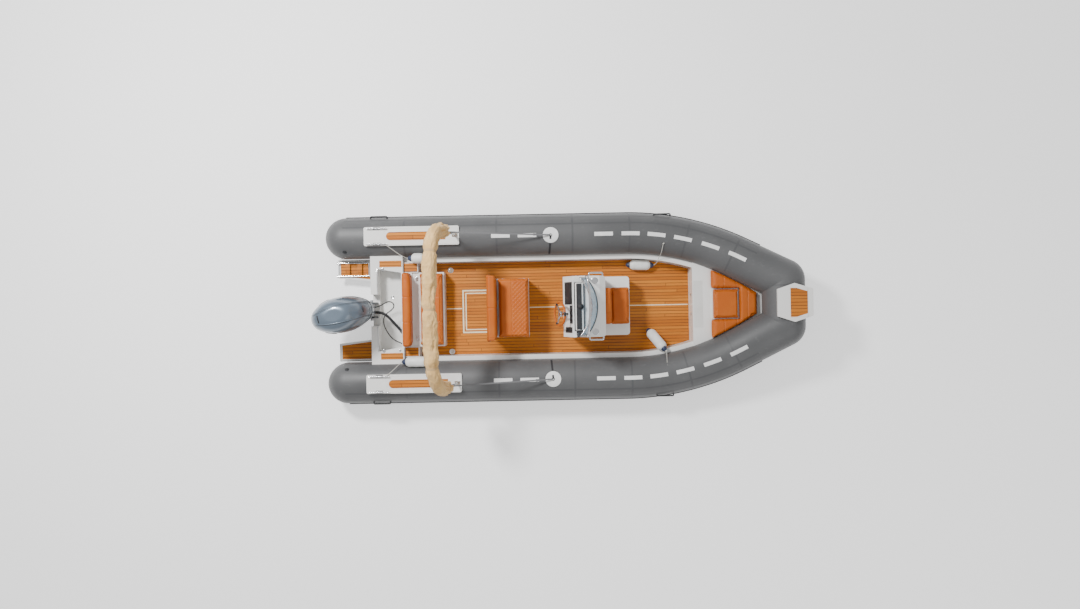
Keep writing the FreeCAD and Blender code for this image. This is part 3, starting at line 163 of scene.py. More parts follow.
class Net(Network):
    """One material's node network."""

    def __init__(self, name: str) -> None:
        """Start an empty material with a Principled shader."""
        self.material = bpy.data.materials.new(name)
        self.material.use_nodes = True
        super().__init__(self.material.node_tree)
        self.shader = self.tree.nodes["Principled BSDF"]
        self._coords = None

    def coords(self) -> Sock:
        """Object coordinates, in metres."""
        if self._coords is None:
            self._coords = self.add("ShaderNodeTexCoord", {}, out=3)
        return self._coords

    def uv(self) -> tuple[Sock, Sock]:
        """The two coordinates of the piece's own UV map, in metres."""
        return self.split(self.add("ShaderNodeTexCoord", {}, out=2))[:2]

    def noise(self, scale: float, detail: float = 3.0, stretch: Point = (1, 1, 1)) -> Sock:
        """Noise from 0 to 1 on object coordinates.

        Args:
            scale: Cells in a metre.
            detail: Octaves.
            stretch: Scale along each axis.

        Returns:
            The noise value.
        """
        where = self.coords()
        if stretch != (1, 1, 1):
            where = self.add("ShaderNodeMapping", {}, where, Scale=stretch)
        return self.add("ShaderNodeTexNoise", {}, Vector=where, Scale=scale, Detail=detail)

    def mix(self, share: object, first: object, second: object) -> Sock:
        """Mix two colours.

        Args:
            share: How much of the second.
            first: Colour or socket.
            second: Colour or socket.

        Returns:
            The mixed colour.
        """
        pair = [(*value, 1.0) if isinstance(value, tuple) else value for value in (first, second)]
        unused = (None,) * 5
        return self.add("ShaderNodeMix", {"data_type": "RGBA"}, share, *unused, *pair, out=2)

    def bump(self, height: Sock, depth: float, strength: float = 1.0) -> None:
        """Feed the shader's Normal from a height.

        Args:
            height: Height from 0 to 1.
            depth: The height's depth, in metres.
            strength: How strongly it shows.
        """
        self.surface(Normal=self.add("ShaderNodeBump", {}, Height=height, Distance=depth, Strength=strength))

    def surface(self, **inputs: object) -> None:
        """Set the shader's inputs by name, with underscores for spaces."""
        for key, value in inputs.items():
            if isinstance(value, tuple) and len(value) == 3:
                value = (*value, 1.0)
            self.feed(self.shader.inputs[key.replace("_", " ")], value)


def scaled(colour: Colour, factor: float, lift: float = 0.0) -> Colour:
    """A colour made paler or darker, at most 1 in each channel."""
    return tuple(min(1.0, channel * factor + lift) for channel in colour)


# Finishes

class Look:
    """Something that can be made into a material."""

    def material(self, name: str) -> bpy.types.Material:
        """Build the material under a name."""
        net = Net(name)
        self.paint(net)
        return net.material


@dataclass(frozen=True)
class Gelcoat(Look):
    """Moulded glass-fibre with a glossy white coat."""

    colour: Colour = (0.80, 0.793, 0.77)
    stain: Colour = (0.60, 0.585, 0.54)

    def paint(self, net: Net) -> None:
        """Faint stains and specks over an even coat."""
        cloud = net.noise(2.3, 4)
        speck = net.noise(95, 2)
        share = cloud.smooth(0.52, 0.78) * 0.3 + speck.smooth(0.62, 0.75) * 0.08
        net.surface(Base_Color=net.mix(share, self.colour, self.stain),
                    Roughness=cloud * 0.16 + 0.2, Coat_Weight=0.35, Coat_Roughness=0.12)
        net.bump(net.noise(7, 3) * 0.8 + speck * 0.04, 0.0012, 0.35)


@dataclass(frozen=True)
class NonSlip(Look):
    """Gelcoat with a moulded diamond tread."""

    colour: Colour = (0.70, 0.695, 0.67)
    dirt: Colour = (0.55, 0.54, 0.5)
    pitch: float = 0.014

    def paint(self, net: Net) -> None:
        """Diamonds from two crossed waves."""
        x, y, _ = net.split(net.coords())
        across = ((x + y) * (math.pi / self.pitch)).sine().absolute()
        along = ((x - y) * (math.pi / self.pitch)).sine().absolute()
        grip = (across * along).smooth(0.1, 0.5)
        worn = net.noise(3.5, 4).smooth(0.5, 0.8)
        net.surface(Base_Color=net.mix(worn * 0.35, self.colour, self.dirt), Roughness=grip * 0.2 + 0.35)
        net.bump(grip, 0.0012, 0.6)


@dataclass(frozen=True)
class TubeFabric(Look):
    """Coated fabric of the buoyancy tubes."""

    colour: Colour = (0.098, 0.099, 0.101)
    pale: Colour = (0.150, 0.150, 0.152)
    dark: Colour = (0.064, 0.065, 0.067)

    def paint(self, net: Net) -> None:
        """Fine weave, clouds and dried salt."""
        weave = net.noise(900, 1, (1, 0.12, 0.12)) * 0.5 + net.noise(900, 1, (0.12, 1, 1)) * 0.5
        cloud = net.noise(1.4, 5)
        salt = net.noise(26, 5, (0.5, 1, 1)).smooth(0.56, 0.78)
        tone = net.mix(0.45, net.mix(cloud.smooth(0.35, 0.7), self.dark, self.colour), self.colour)
        net.surface(Base_Color=net.mix(salt * 0.28, tone, self.pale),
                    Roughness=cloud * 0.14 + 0.42, Sheen_Weight=0.08)
        net.bump(weave + net.noise(9, 2) * 1.4, 0.0009, 0.5)


@dataclass(frozen=True)
class Teak(Look):
    """Caulked teak planks laid along X."""

    pitch: float = 0.046
    caulk: float = 0.0052
    length: float = 1.9
    pale: Colour = (0.61, 0.210, 0.022)
    deep: Colour = (0.43, 0.122, 0.010)
    damp: Colour = (0.30, 0.115, 0.03)
    seam: Colour = (0.022, 0.017, 0.012)

    def paint(self, net: Net) -> None:
        """Boards of their own tone, with grain, damp places and dark caulking."""
        x, y, _ = net.split(net.coords())
        lane = (y + 20 * self.pitch) / self.pitch
        index = lane.floor()
        side = lane.fract() * self.pitch
        jitter = net.add("ShaderNodeTexWhiteNoise", {"noise_dimensions": "1D"}, W=index)
        run = x / self.length + jitter * 7.0
        end = run.fract() * self.length
        board = index * 3.7 + run.floor() * 11.3
        tone = net.add("ShaderNodeTexWhiteNoise", {"noise_dimensions": "1D"}, W=board)
        seam = 1 - (1 - (side < self.caulk)) * (1 - (end < self.caulk * 0.8))
        grain = net.noise(130, 4, (0.05, 1, 1))
        streak = net.noise(24, 3, (0.10, 1, 1))
        wet = net.noise(1.1, 3).smooth(0.45, 0.75)
        share = tone * 0.45 + streak * 0.5 + grain * 0.25
        wood = net.mix(wet * 0.25, net.mix(share.smooth(0.3, 0.95), self.deep, self.pale), self.damp)
        net.surface(Base_Color=net.mix(seam, wood, self.seam), Roughness=0.62 - wet * 0.14,
                    Specular_IOR_Level=0.28)
        net.bump((1 - seam) * 1.0 + grain * 0.2, 0.0016, 0.7)


@dataclass(frozen=True)
class Upholstery(Look):
    """Grained marine leatherette."""

    colour: Colour = (0.47, 0.103, 0.006)
    worn: Colour = (0.53, 0.140, 0.012)

    def paint(self, net: Net) -> None:
        """Leather grain with sunned places."""
        grain = net.add("ShaderNodeTexVoronoi", {"feature": "DISTANCE_TO_EDGE"}, Vector=net.coords(),
                        Scale=420.0)
        cloud = net.noise(4.5, 4)
        crease = net.noise(22, 4, (1, 0.45, 1)).smooth(0.4, 0.8)
        net.surface(Base_Color=net.mix(cloud.smooth(0.45, 0.72) * 0.55, self.colour, self.worn),
                    Roughness=cloud * 0.12 + 0.4, Specular_IOR_Level=0.32)
        net.bump(grain.smooth(0.0, 0.25) * 0.35 + crease * 1.2, 0.0014, 0.55)


@dataclass(frozen=True)
class Canvas(Look):
    """Woven acrylic cover cloth, patterned along the piece's own UV map."""

    colour: Colour = (0.82, 0.53, 0.22)
    shade: Colour = (0.66, 0.405, 0.15)
    dirt: Colour = (0.30, 0.21, 0.11)
    thread: float = 0.0016

    def paint(self, net: Net) -> None:
        """Crossed threads, clouds and dirt."""
        warp, weft = ((axis * (math.pi / self.thread)).sine().absolute() for axis in net.uv())
        cloud = net.noise(6, 5)
        dirt = net.noise(16, 5).smooth(0.52, 0.8)
        tone = net.mix(cloud.smooth(0.35, 0.7), self.shade, self.colour)
        net.surface(Base_Color=net.mix(dirt * 0.35, tone, self.dirt), Roughness=0.86, Sheen_Weight=0.2)
        net.bump(warp * 0.4 + weft * 0.4 + cloud * 2.0, 0.0012, 0.6)


@dataclass(frozen=True)
class Metal(Look):
    """Polished, brushed or painted metal."""

    colour: Colour
    roughness: float
    metallic: float = 1.0
    coat: float = 0.0

    def paint(self, net: Net) -> None:
        """Smears and fine scratches."""
        smear = net.noise(18, 4)
        net.surface(Base_Color=net.mix(smear.smooth(0.4, 0.75) * 0.5, self.colour, scaled(self.colour, 0.8)),
                    Roughness=smear * 0.12 + self.roughness, Metallic=self.metallic,
                    Coat_Weight=self.coat, Coat_Roughness=0.06)
        net.bump(net.noise(260, 2, (0.08, 1, 1)), 0.0002, 0.25)


@dataclass(frozen=True)
class EnginePaint(Look):
    """Metallic paint with fine flakes under a clear coat."""

    colour: Colour = (0.105, 0.138, 0.176)

    def paint(self, net: Net) -> None:
        """Flakes from small cells."""
        flake = net.add("ShaderNodeTexVoronoi", {}, Vector=net.coords(), Scale=1500.0)
        cloud = net.noise(3, 3)
        share = flake.smooth(0.1, 0.9) * 0.5 + cloud * 0.25
        net.surface(Base_Color=net.mix(share, self.colour, scaled(self.colour, 1.45)),
                    Roughness=cloud * 0.1 + 0.28, Metallic=0.45, Coat_Weight=0.8, Coat_Roughness=0.08)
        net.bump(net.noise(600, 2), 0.0002, 0.1)


@dataclass(frozen=True)
class Moulded(Look):
    """Plain moulded plastic or rubber."""

    colour: Colour
    roughness: float
    pebble: float = 700.0

    def paint(self, net: Net) -> None:
        """Dust and a pebbled grain."""
        cloud = net.noise(8, 4)
        dust = scaled(self.colour, 1.5, 0.02)
        net.surface(Base_Color=net.mix(cloud.smooth(0.45, 0.8) * 0.5, self.colour, dust),
                    Roughness=cloud * 0.15 + self.roughness)
        net.bump(net.noise(self.pebble, 2), 0.0003, 0.35)


@dataclass(frozen=True)
class ClearSheet(Look):
    """Tinted clear acrylic."""

    colour: Colour = (0.16, 0.36, 0.52)
    alpha: float = 0.60

    def paint(self, net: Net) -> None:
        """An even tint with faint smears."""
        smear = net.noise(5, 4, (1, 1, 0.3))
        net.surface(Base_Color=self.colour, Roughness=smear * 0.08 + 0.03,
                    Alpha=smear.smooth(0.55, 0.8) * 0.08 + self.alpha, Coat_Weight=0.5)


@dataclass(frozen=True)
class Rope(Look):
    """Twisted cordage, patterned along its UV map."""

    colour: Colour = (0.62, 0.60, 0.55)
    lay: float = 0.012

    def paint(self, net: Net) -> None:
        """Strands that wind along the piece, with painted shade in the grooves between them."""
        along, across = net.uv()
        twist = ((along / self.lay + across) * (2 * math.pi)).sine() * 0.5 + 0.5
        # Painted shade: the colour darkens in the grooves between strands, where the twist height is lowest.
        net.surface(Base_Color=net.mix(twist.smooth(0.0, 0.5), scaled(self.colour, 0.55), self.colour),
                    Roughness=0.8)
        net.bump(twist, 0.001, 0.8)


SEAM_FABRIC = TubeFabric(colour=(0.074, 0.075, 0.078), pale=(0.11, 0.111, 0.114))
PIPING = Upholstery(colour=(0.44, 0.13, 0.022), worn=(0.5, 0.16, 0.03))


class Finish(Enum):
    """Every finish of the boat: its material's name, its look and its slot in the record."""

    GELCOAT = ("white_gelcoat", Gelcoat(), "gelcoat")
    NONSLIP = ("nonslip_gelcoat", NonSlip(), "gelcoat")
    TUBE = ("tube_fabric", TubeFabric(), "tube_fabric")
    SEAM = ("seam_tape", SEAM_FABRIC, "tube_fabric")
    TEAK = ("teak_deck", Teak(), "teak")
    CREAM = ("cream_inlay", Moulded((0.82, 0.74, 0.52), 0.55), "gelcoat")
    UPHOLSTERY = ("tan_upholstery", Upholstery(), "upholstery")
    PIPING = ("seam_piping", PIPING, "upholstery")
    THREAD = ("stitch_thread", Moulded((0.70, 0.42, 0.2), 0.7, 1500), "upholstery")
    CANVAS = ("sand_canvas", Canvas(), "canvas")
    CANVAS_STRAP = ("sand_strap", Rope((0.55, 0.36, 0.17)), "strap")
    STAINLESS = ("polished_stainless", Metal((0.72, 0.72, 0.73), 0.09), "stainless")
    PROP_STEEL = ("cast_propeller_steel", Metal((0.50, 0.50, 0.51), 0.22), "stainless")
    ENGINE = ("engine_paint", EnginePaint(), "engine_paint")
    ENGINE_DARK = ("dark_engine_castings", Metal((0.045, 0.05, 0.058), 0.38, 0.3, 0.2), "engine_paint")
    CAST_GREY = ("grey_bracket_castings", Metal((0.40, 0.41, 0.43), 0.34, 0.35, 0.3), "engine_paint")
    BLACK = ("black_plastic", Moulded((0.018, 0.018, 0.02), 0.42), "dash_plastic")
    RUBBER = ("black_rubber", Moulded((0.02, 0.02, 0.022), 0.62, 300), "rubber")
    FENDER = ("fender_vinyl", Moulded((0.72, 0.72, 0.70), 0.32, 200), "fender_vinyl")
    FENDER_END = ("fender_end_vinyl", Moulded((0.02, 0.03, 0.07), 0.4, 200), "fender_vinyl")
    SCREEN = ("tinted_screen", ClearSheet(), "windscreen")
    GAUGE_GLASS = ("gauge_glass", ClearSheet((0.03, 0.03, 0.035), 0.9), "windscreen")
    WHITE_MARK = ("white_patch", Moulded((0.78, 0.78, 0.77), 0.5), "gelcoat")
    WEBBING = ("grey_webbing", Rope((0.16, 0.16, 0.165), 0.02), "strap")
    # Black strip under each patch ring: painted shadow of the ring, drawn as webbing.
    RING_SHADOW = ("black_webbing", Rope((0.025, 0.025, 0.028)), "strap")
    ROPE = ("fender_rope", Rope(), "strap")

    @property
    def slot(self) -> str:
        """The record's material slot."""
        return self.value[2]

    @property
    def material(self) -> bpy.types.Material:
        """The finish's material, built the first time it is asked for."""
        if self not in MATERIALS:
            MATERIALS[self] = self.value[1].material(self.value[0])
        return MATERIALS[self]


MATERIALS: dict[Finish, bpy.types.Material] = {}


# Mesh helpers

class Body(Enum):
    """The moving bodies that pieces ride on."""

    BOAT = "boat"
    BENCH_SEAT = "bench_seat"
    HELM_SEAT = "helm_seat"
    CONSOLE_SEAT = "console_seat"
    BOW_LID = "bow_lid"
    FLOOR_LID = "floor_lid"
    WHEEL = "wheel"
    LADDER = "ladder"
    SUNSHADE = "sunshade"
    TILT_UNIT = "tilt_unit"
    ENGINE = "engine"


ADDED = {"triangles": 0}


def place(piece: bpy.types.Object, body: Body, slot: str, *replaced: str) -> bpy.types.Object:
    """Make a finished piece ride on its body.

    Args:
        piece: The object.
        body: The body that it moves with.
        slot: The record's material slot; not used.
        replaced: CAD nodes that it stands for.

    Returns:
        The same object.
    """
    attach(piece, body.value)
    if replaced:
        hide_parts(*replaced)
    tally(piece)
    return piece


def tally(piece: bpy.types.Object) -> None:
    """Count and report a piece's triangles."""
    count = sum(len(face.vertices) - 2 for face in piece.data.polygons)
    ADDED["triangles"] += count
    LOG.info("%s: %d triangles", piece.name, count)


def make_object(name: str, mesh: bpy.types.Mesh, *materials: bpy.types.Material) -> bpy.types.Object:
    """Link a mesh to the scene as an object at the origin.

    Args:
        name: The object's name.
        mesh: Its mesh.
        materials: Its materials in slot order.

    Returns:
        The object.
    """
    mesh.materials.clear()
    for material in materials:
        mesh.materials.append(material)
    piece = bpy.data.objects.new(name, mesh)
    bpy.context.scene.collection.objects.link(piece)
    return piece


def finish_mesh(name: str, shape: bmesh.types.BMesh, finish: Finish) -> bpy.types.Object:
    """Turn a bmesh into a smooth object with outward faces.

    Args:
        name: The object's name.
        shape: The bmesh, which is freed.
        finish: Its finish.

    Returns:
        The object.
    """
    bmesh.ops.remove_doubles(shape, verts=shape.verts, dist=1e-6)
    bmesh.ops.recalc_face_normals(shape, faces=shape.faces)
    mesh = bpy.data.meshes.new(name)
    shape.to_mesh(mesh)
    shape.free()
    for face in mesh.polygons:
        face.use_smooth = True
    return make_object(name, mesh, finish.material)


def modify(piece: bpy.types.Object, kind: str, **settings: object) -> bpy.types.Modifier:
    """Add a modifier with its settings."""
    modifier = piece.modifiers.new(kind.lower(), kind)
    for key, value in settings.items():
        setattr(modifier, key, value)
    return modifier


def bake_modifiers(piece: bpy.types.Object) -> bpy.types.Object:
    """Apply every modifier of a piece to its mesh."""
    graph = bpy.context.evaluated_depsgraph_get()
    mesh = bpy.data.meshes.new_from_object(piece.evaluated_get(graph))
    piece.modifiers.clear()
    old = piece.data
    piece.data = mesh
    bpy.data.meshes.remove(old)
    return piece


def frame_of(direction: Vector) -> Matrix:
    """Rotation whose Z axis is a direction."""
    return direction.to_track_quat("Z", "Y").to_matrix().to_4x4()


def steps(start: float, end: float, count: int) -> list[float]:
    """Evenly spaced values from start to end."""
    return [start + (end - start) * index / count for index in range(count + 1)]


def turns(count: int) -> list[float]:
    """Angles that share out a full turn."""
    return [2 * math.pi * index / count for index in range(count)]


def runs_along(points: Sequence[Vector]) -> list[float]:
    """Distance from the first point to each one, along the line."""
    runs = [0.0]
    for before, after in zip(points, points[1:]):
        runs.append(runs[-1] + (after - before).length)
    return runs


class Builder:
    """Collects solids for one joined mesh."""

    def __init__(self) -> None:
        """Start empty."""
        self.shape = bmesh.new()
        self.painted = 0

    def box(self, low: Sequence[float], high: Sequence[float], slot: int = 0) -> None:
        """Add a box between two corners."""
        size = [b - a for a, b in zip(low, high)]
        centre = Vector([(a + b) / 2 for a, b in zip(low, high)])
        matrix = Matrix.Translation(centre) @ Matrix.Diagonal((*size, 1))
        bmesh.ops.create_cube(self.shape, size=1, matrix=matrix)
        self._paint(slot)

    def cylinder(self, start: Sequence[float], end: Sequence[float], radius: float, end_radius: float = -1,
                 sides: int = 24, slot: int = 0) -> None:
        """Add a cylinder or cone between two points."""
        a, b = Vector(start), Vector(end)
        matrix = Matrix.Translation((a + b) / 2) @ frame_of(b - a)
        far = radius if end_radius < 0 else end_radius
        bmesh.ops.create_cone(self.shape, cap_ends=True, segments=sides, radius1=radius, radius2=far,
                              depth=(b - a).length, matrix=matrix)
        self._paint(slot)

    def ball(self, centre: Sequence[float], radius: float, squash: Point = (1, 1, 1), slot: int = 0,
             rings: int = 12) -> None:
        """Add a ball, which may be squashed along the axes."""
        matrix = Matrix.Translation(Vector(centre)) @ Matrix.Diagonal((*squash, 1))
        bmesh.ops.create_uvsphere(self.shape, u_segments=2 * rings, v_segments=rings, radius=radius,
                                  matrix=matrix)
        self._paint(slot)

    def rings(self, rings: Sequence[Sequence[Vector]], slot: int = 0, closed: bool = False) -> None:
        """Add a skin over rings of as many points each.

        Args:
            rings: The points, ring by ring.
            slot: Its material slot.
            closed: Whether the last ring joins the first, else both ends are capped.
        """
        made = [[self.shape.verts.new(point) for point in ring] for ring in rings]
        sides = len(made[0])
        pairs = list(zip(made, made[1:]))
        if closed:
            shift = min(range(sides), key=lambda s: (made[-1][s].co - made[0][0].co).length)
            pairs.append(([made[-1][(step + shift) % sides] for step in range(sides)], made[0]))
        for low, high in pairs:
            for step in range(sides):
                near = (step + 1) % sides
                self.shape.faces.new((low[step], low[near], high[near], high[step]))
        if not closed:
            self.shape.faces.new(made[0][::-1])
            self.shape.faces.new(made[-1])
        self._paint(slot)

    def lathe(self, start: Sequence[float], direction: Sequence[float], profile: Profile,
              sides: int = 32, slot: int = 0) -> None:
        """Add a turned solid.

        Args:
            start: Where its axis starts.
            direction: The axis.
            profile: Pairs of distance along the axis and radius, closed at both ends.
            sides: How many sides it has.
            slot: Its material slot.
        """
        turn = frame_of(Vector(direction).normalized()).to_3x3()
        self.rings([[Vector(start) + turn @ Vector((reach * math.cos(angle), reach * math.sin(angle), along))
                     for angle in turns(sides)] for along, reach in profile], slot)

    def prism(self, outline: Points, shift: Sequence[float], slot: int = 0) -> None:
        """Add a solid from a flat outline of 3-D points, extruded by a shift."""
        low = [Vector(point) for point in outline]
        self.rings([low, [point + Vector(shift) for point in low]], slot)

    def tube(self, points: Points, radius: float, sides: int = 12, closed: bool = False,
             slot: int = 0) -> None:
        """Add a round bar through many close points.

        Args:
            points: Its centreline.
            radius: Its radius.
            sides: How many sides it has.
            closed: Whether it is a ring.
            slot: Its material slot.
        """
        line = [Vector(point) for point in points]
        count = len(line)
        rings = []
        normal = None
        for index, point in enumerate(line):
            ahead = line[(index + 1) % count] if closed else line[min(index + 1, count - 1)]
            behind = line[index - 1] if closed else line[max(index - 1, 0)]
            along = (ahead - behind).normalized()
            if normal is None:
                normal = along.orthogonal().normalized()
            normal = (normal - along * normal.dot(along)).normalized()
            other = along.cross(normal)
            rings.append([point + (normal * math.cos(angle) + other * math.sin(angle)) * radius
                          for angle in turns(sides)])
        self.rings(rings, slot, closed)

    def sheet(self, point: Surface, us: Sequence[float], vs: Sequence[float],
              thick: float, low: float = -0.0006) -> None:
        """Add a thin closed sheet that follows a surface.

        Args:
            point: Gives the point for u, v and the height over the surface.
            us: Steps in the first direction.
            vs: Steps in the second direction.
            thick: Height of the outer face over the surface.
            low: Height of the hidden face, a little under the surface.
        """
        new = self.shape.faces.new
        under, over = ([[self.shape.verts.new(point(u, v, lift)) for v in vs] for u in us]
                       for lift in (low, thick))
        last_u, last_v = len(us) - 1, len(vs) - 1
        for i in range(last_u):
            for j in range(last_v):
                new((over[i][j], over[i + 1][j], over[i + 1][j + 1], over[i][j + 1]))
                new((under[i][j + 1], under[i + 1][j + 1], under[i + 1][j], under[i][j]))
        rim = [(i, 0) for i in range(last_u + 1)] + [(last_u, j) for j in range(1, last_v + 1)]
        rim += [(i, last_v) for i in range(last_u - 1, -1, -1)] + [(0, j) for j in range(last_v - 1, 0, -1)]
        for (i, j), (k, l) in zip(rim, rim[1:] + rim[:1]):
            new((under[i][j], under[k][l], over[k][l], over[i][j]))

        self._paint(0)

    def measure(self, runs: Sequence[float], girth: float) -> None:
        """Give a skin over rings its own measure as UV.

        Args:
            runs: Distance along the piece of each ring.
            girth: Measure round a ring.
        """
        uv = self.shape.loops.layers.uv.new("UVMap")
        self.shape.verts.index_update()
        sides = len(self.shape.verts) // len(runs)
        for face in self.shape.faces:
            if len(face.verts) > 4:
                continue
            wraps = max(corner.vert.index % sides for corner in face.loops) == sides - 1
            for loop in face.loops:
                ring, step = divmod(loop.vert.index, sides)
                turn = sides if step == 0 and wraps else step
                loop[uv].uv = (runs[ring], girth * turn / sides)

    def _paint(self, slot: int) -> None:
        """Give the faces added since the last call their material slot."""
        self.shape.faces.ensure_lookup_table()
        for face in self.shape.faces[self.painted:]:
            face.material_index = slot
        self.painted = len(self.shape.faces)

    def done(self, name: str, *finishes: Finish, smooth: bool = True,
             round_edges: float = 0.0) -> bpy.types.Object:
        """Finish the joined mesh.

        Args:
            name: The object's name.
            finishes: Its finishes in slot order.
            smooth: Whether it is shaded smooth.
            round_edges: Width of the rounding of its sharp edges.

        Returns:
            The object.
        """
        bmesh.ops.recalc_face_normals(self.shape, faces=self.shape.faces)
        mesh = bpy.data.meshes.new(name)
        self.shape.to_mesh(mesh)
        self.shape.free()
        piece = make_object(name, mesh, *(finish.material for finish in finishes))
        if round_edges:
            modify(piece, "BEVEL", width=round_edges, segments=2, limit_method="ANGLE",
                   angle_limit=math.radians(35), harden_normals=False)
            bake_modifiers(piece)
        for face in piece.data.polygons:
            face.use_smooth = smooth
        if smooth:
            piece.data.set_sharp_from_angle(angle=math.radians(40))
        return piece

    def fit(self, name: str, *finishes: Finish, body: Body = Body.BOAT, slot: str = "", replaced: str = "",
            **options: object) -> bpy.types.Object:
        """Finish the mesh and make it ride on its body.

        Args:
            name: The object's name.
            finishes: Its finishes in slot order.
            body: The body that it moves with.
            slot: The record's material slot, where it isn't that of the first finish.
            replaced: CAD node that it stands for.
            options: What done() takes.

        Returns:
            The object.
        """
        piece = self.done(name, *finishes, **options)
        return place(piece, body, slot or finishes[0].slot, *filter(None, [replaced]))


def smooth_path(points: Points, count: int = 10) -> list[Vector]:
    """Close points along a smooth line through the given ones (Catmull-Rom)."""
    line = [Vector(point) for point in points]
    line = [line[0] * 2 - line[1], *line, line[-1] * 2 - line[-2]]
    result = []
    for p0, p1, p2, p3 in zip(line, line[1:], line[2:], line[3:]):
        for step in range(count):
            t = step / count
            result.append(0.5 * ((2 * p1) + (p2 - p0) * t + (2 * p0 - 5 * p1 + 4 * p2 - p3) * t * t
                                 + (3 * p1 - p0 - 3 * p2 + p3) * t * t * t))
    return result + [line[-2]]


class TubePath:
    """Centreline of the port buoyancy tube, by distance from its aft dome."""

    radius = 0.300
    aft = Vector((-2.816, 1.056, 0.320))
    knee = Vector((2.115, 1.056, 0.320))
    nose = Vector((3.480, 0.330, 0.620))
    bend = 3.190

    def __init__(self) -> None:
        """Work out the bend between the two straights."""
        self.ahead = Vector((1, 0, 0))
        self.inward = (self.nose - self.knee).normalized()
        self.turn = math.acos(self.inward.x)
        reach = self.bend * math.tan(self.turn / 2)
        self.start = self.knee - self.ahead * reach
        self.side = (self.inward - self.ahead * self.inward.x).normalized()
        self.straight = self.start.x - self.aft.x
        self.arc = self.bend * self.turn
        self.length = self.straight + self.arc + (self.nose - self.knee).length - reach

    def at(self, along: float) -> tuple[Vector, Vector]:
        """Point and direction at a distance along the centreline."""
        if along <= self.straight:
            return self.aft + self.ahead * along, self.ahead.copy()
        angle = min((along - self.straight) / self.bend, self.turn)
        point = self.start + self.ahead * (self.bend * math.sin(angle)) + self.side * (
            self.bend * (1 - math.cos(angle)))
        heading = self.ahead * math.cos(angle) + self.side * math.sin(angle)
        return point + heading * max(0.0, along - self.straight - self.arc), heading

    def along_x(self, x: float) -> float:
        """Distance along the centreline of the point at a station."""
        low, high = -0.3, self.length + 0.5
        for _ in range(40):
            middle = (low + high) / 2
            if self.at(middle)[0].x < x:
                low = middle
            else:
                high = middle
        return low

    def skin(self, along: float, around: float, lift: float = 0.0, side: int = 1) -> Vector:
        """Point on the tube's skin.

        Args:
            along: Distance along the centreline.
            around: Angle from the top of the tube, positive outward.
            lift: Height above the skin.
            side: 1 for port, -1 for starboard.

        Returns:
            The point.
        """
        point, heading = self.at(along)
        top = (UP - heading * heading.z).normalized()
        out = top.cross(heading)
        point = point + (top * math.cos(around) + out * math.sin(around)) * (self.radius + lift)
        return Vector((point.x, side * point.y, point.z))


PATH = TubePath()
PATCH_X = 0.17


class Repeats(Network):
    """Instances a small round form on many points with one Geometry Nodes tree."""

    sockets = {"Form Scale": "Vector", "Segments": "Int", "Rings": "Int", "Size Spread": "Float",
               "Seed": "Int", "Finish": "Material"}

    def __init__(self) -> None:
        """Build the tree."""
        super().__init__(bpy.data.node_groups.new("repeat_forms", "GeometryNodeTree"))
        face = self.tree.interface
        face.new_socket("Geometry", in_out="OUTPUT", socket_type="NodeSocketGeometry")
        face.new_socket("Points", in_out="INPUT", socket_type="NodeSocketGeometry")
        self.inputs = {}
        for name, kind in self.sockets.items():
            socket = face.new_socket(name, in_out="INPUT", socket_type="NodeSocket" + kind)
            self.inputs[name] = socket.identifier
        group = self.add("NodeGroupInput", {}).link.node
        given = {output.name: Sock(self, output) for output in group.outputs}
        ball = self.add("GeometryNodeMeshUVSphere", {}, given["Segments"], given["Rings"], 1.0)
        form = self.add("GeometryNodeTransform", {}, ball, Scale=given["Form Scale"])
        form = self.add("GeometryNodeSetShadeSmooth", {}, form)
        aim = self.add("GeometryNodeInputNamedAttribute", {"data_type": "FLOAT_VECTOR"}, "aim")
        turn = self.add("FunctionNodeAlignRotationToVector", {"axis": "Z"}, Vector=aim)
        least = 1 - given["Size Spread"]
        size = self.add("FunctionNodeRandomValue", {"data_type": "FLOAT"}, None, None, least, 1.0,
                        Seed=given["Seed"], out=1)
        each = self.add("GeometryNodeInstanceOnPoints", {}, given["Points"], Instance=form, Rotation=turn,
                        Scale=size)
        real = self.add("GeometryNodeRealizeInstances", {}, each)
        painted = self.add("GeometryNodeSetMaterial", {}, real, Material=given["Finish"])
        self.add("NodeGroupOutput", {}, painted)

    def on_points(self, name: str, spots: Sequence[tuple[Vector, Vector]], form: Point, finish: Finish,
                  segments: int, rings: int) -> bpy.types.Object:
        """Put the form on every spot and turn it into a mesh.

        Args:
            name: Name of the piece.
            spots: Pairs of position and direction.
            form: Half sizes of the form, the last one along its direction.
            finish: Its finish.
            segments: Sides of the form.
            rings: Rings of the form.

        Returns:
            The piece.
        """
        points = bpy.data.meshes.new(name + "_points")
        points.from_pydata([tuple(spot) for spot, _ in spots], [], [])
        aims = points.attributes.new("aim", "FLOAT_VECTOR", "POINT")
        for item, (_, direction) in zip(aims.data, spots):
            item.vector = direction.normalized()
        carrier = make_object(name, points, finish.material)
        modifier = modify(carrier, "NODES", node_group=self.tree)
        values = {"Form Scale": form, "Segments": segments, "Rings": rings, "Size Spread": 0.0, "Seed": 3,
                  "Finish": finish.material}
        for label, value in values.items():
            modifier[self.inputs[label]] = value
        return bake_modifiers(carrier)


# Studio

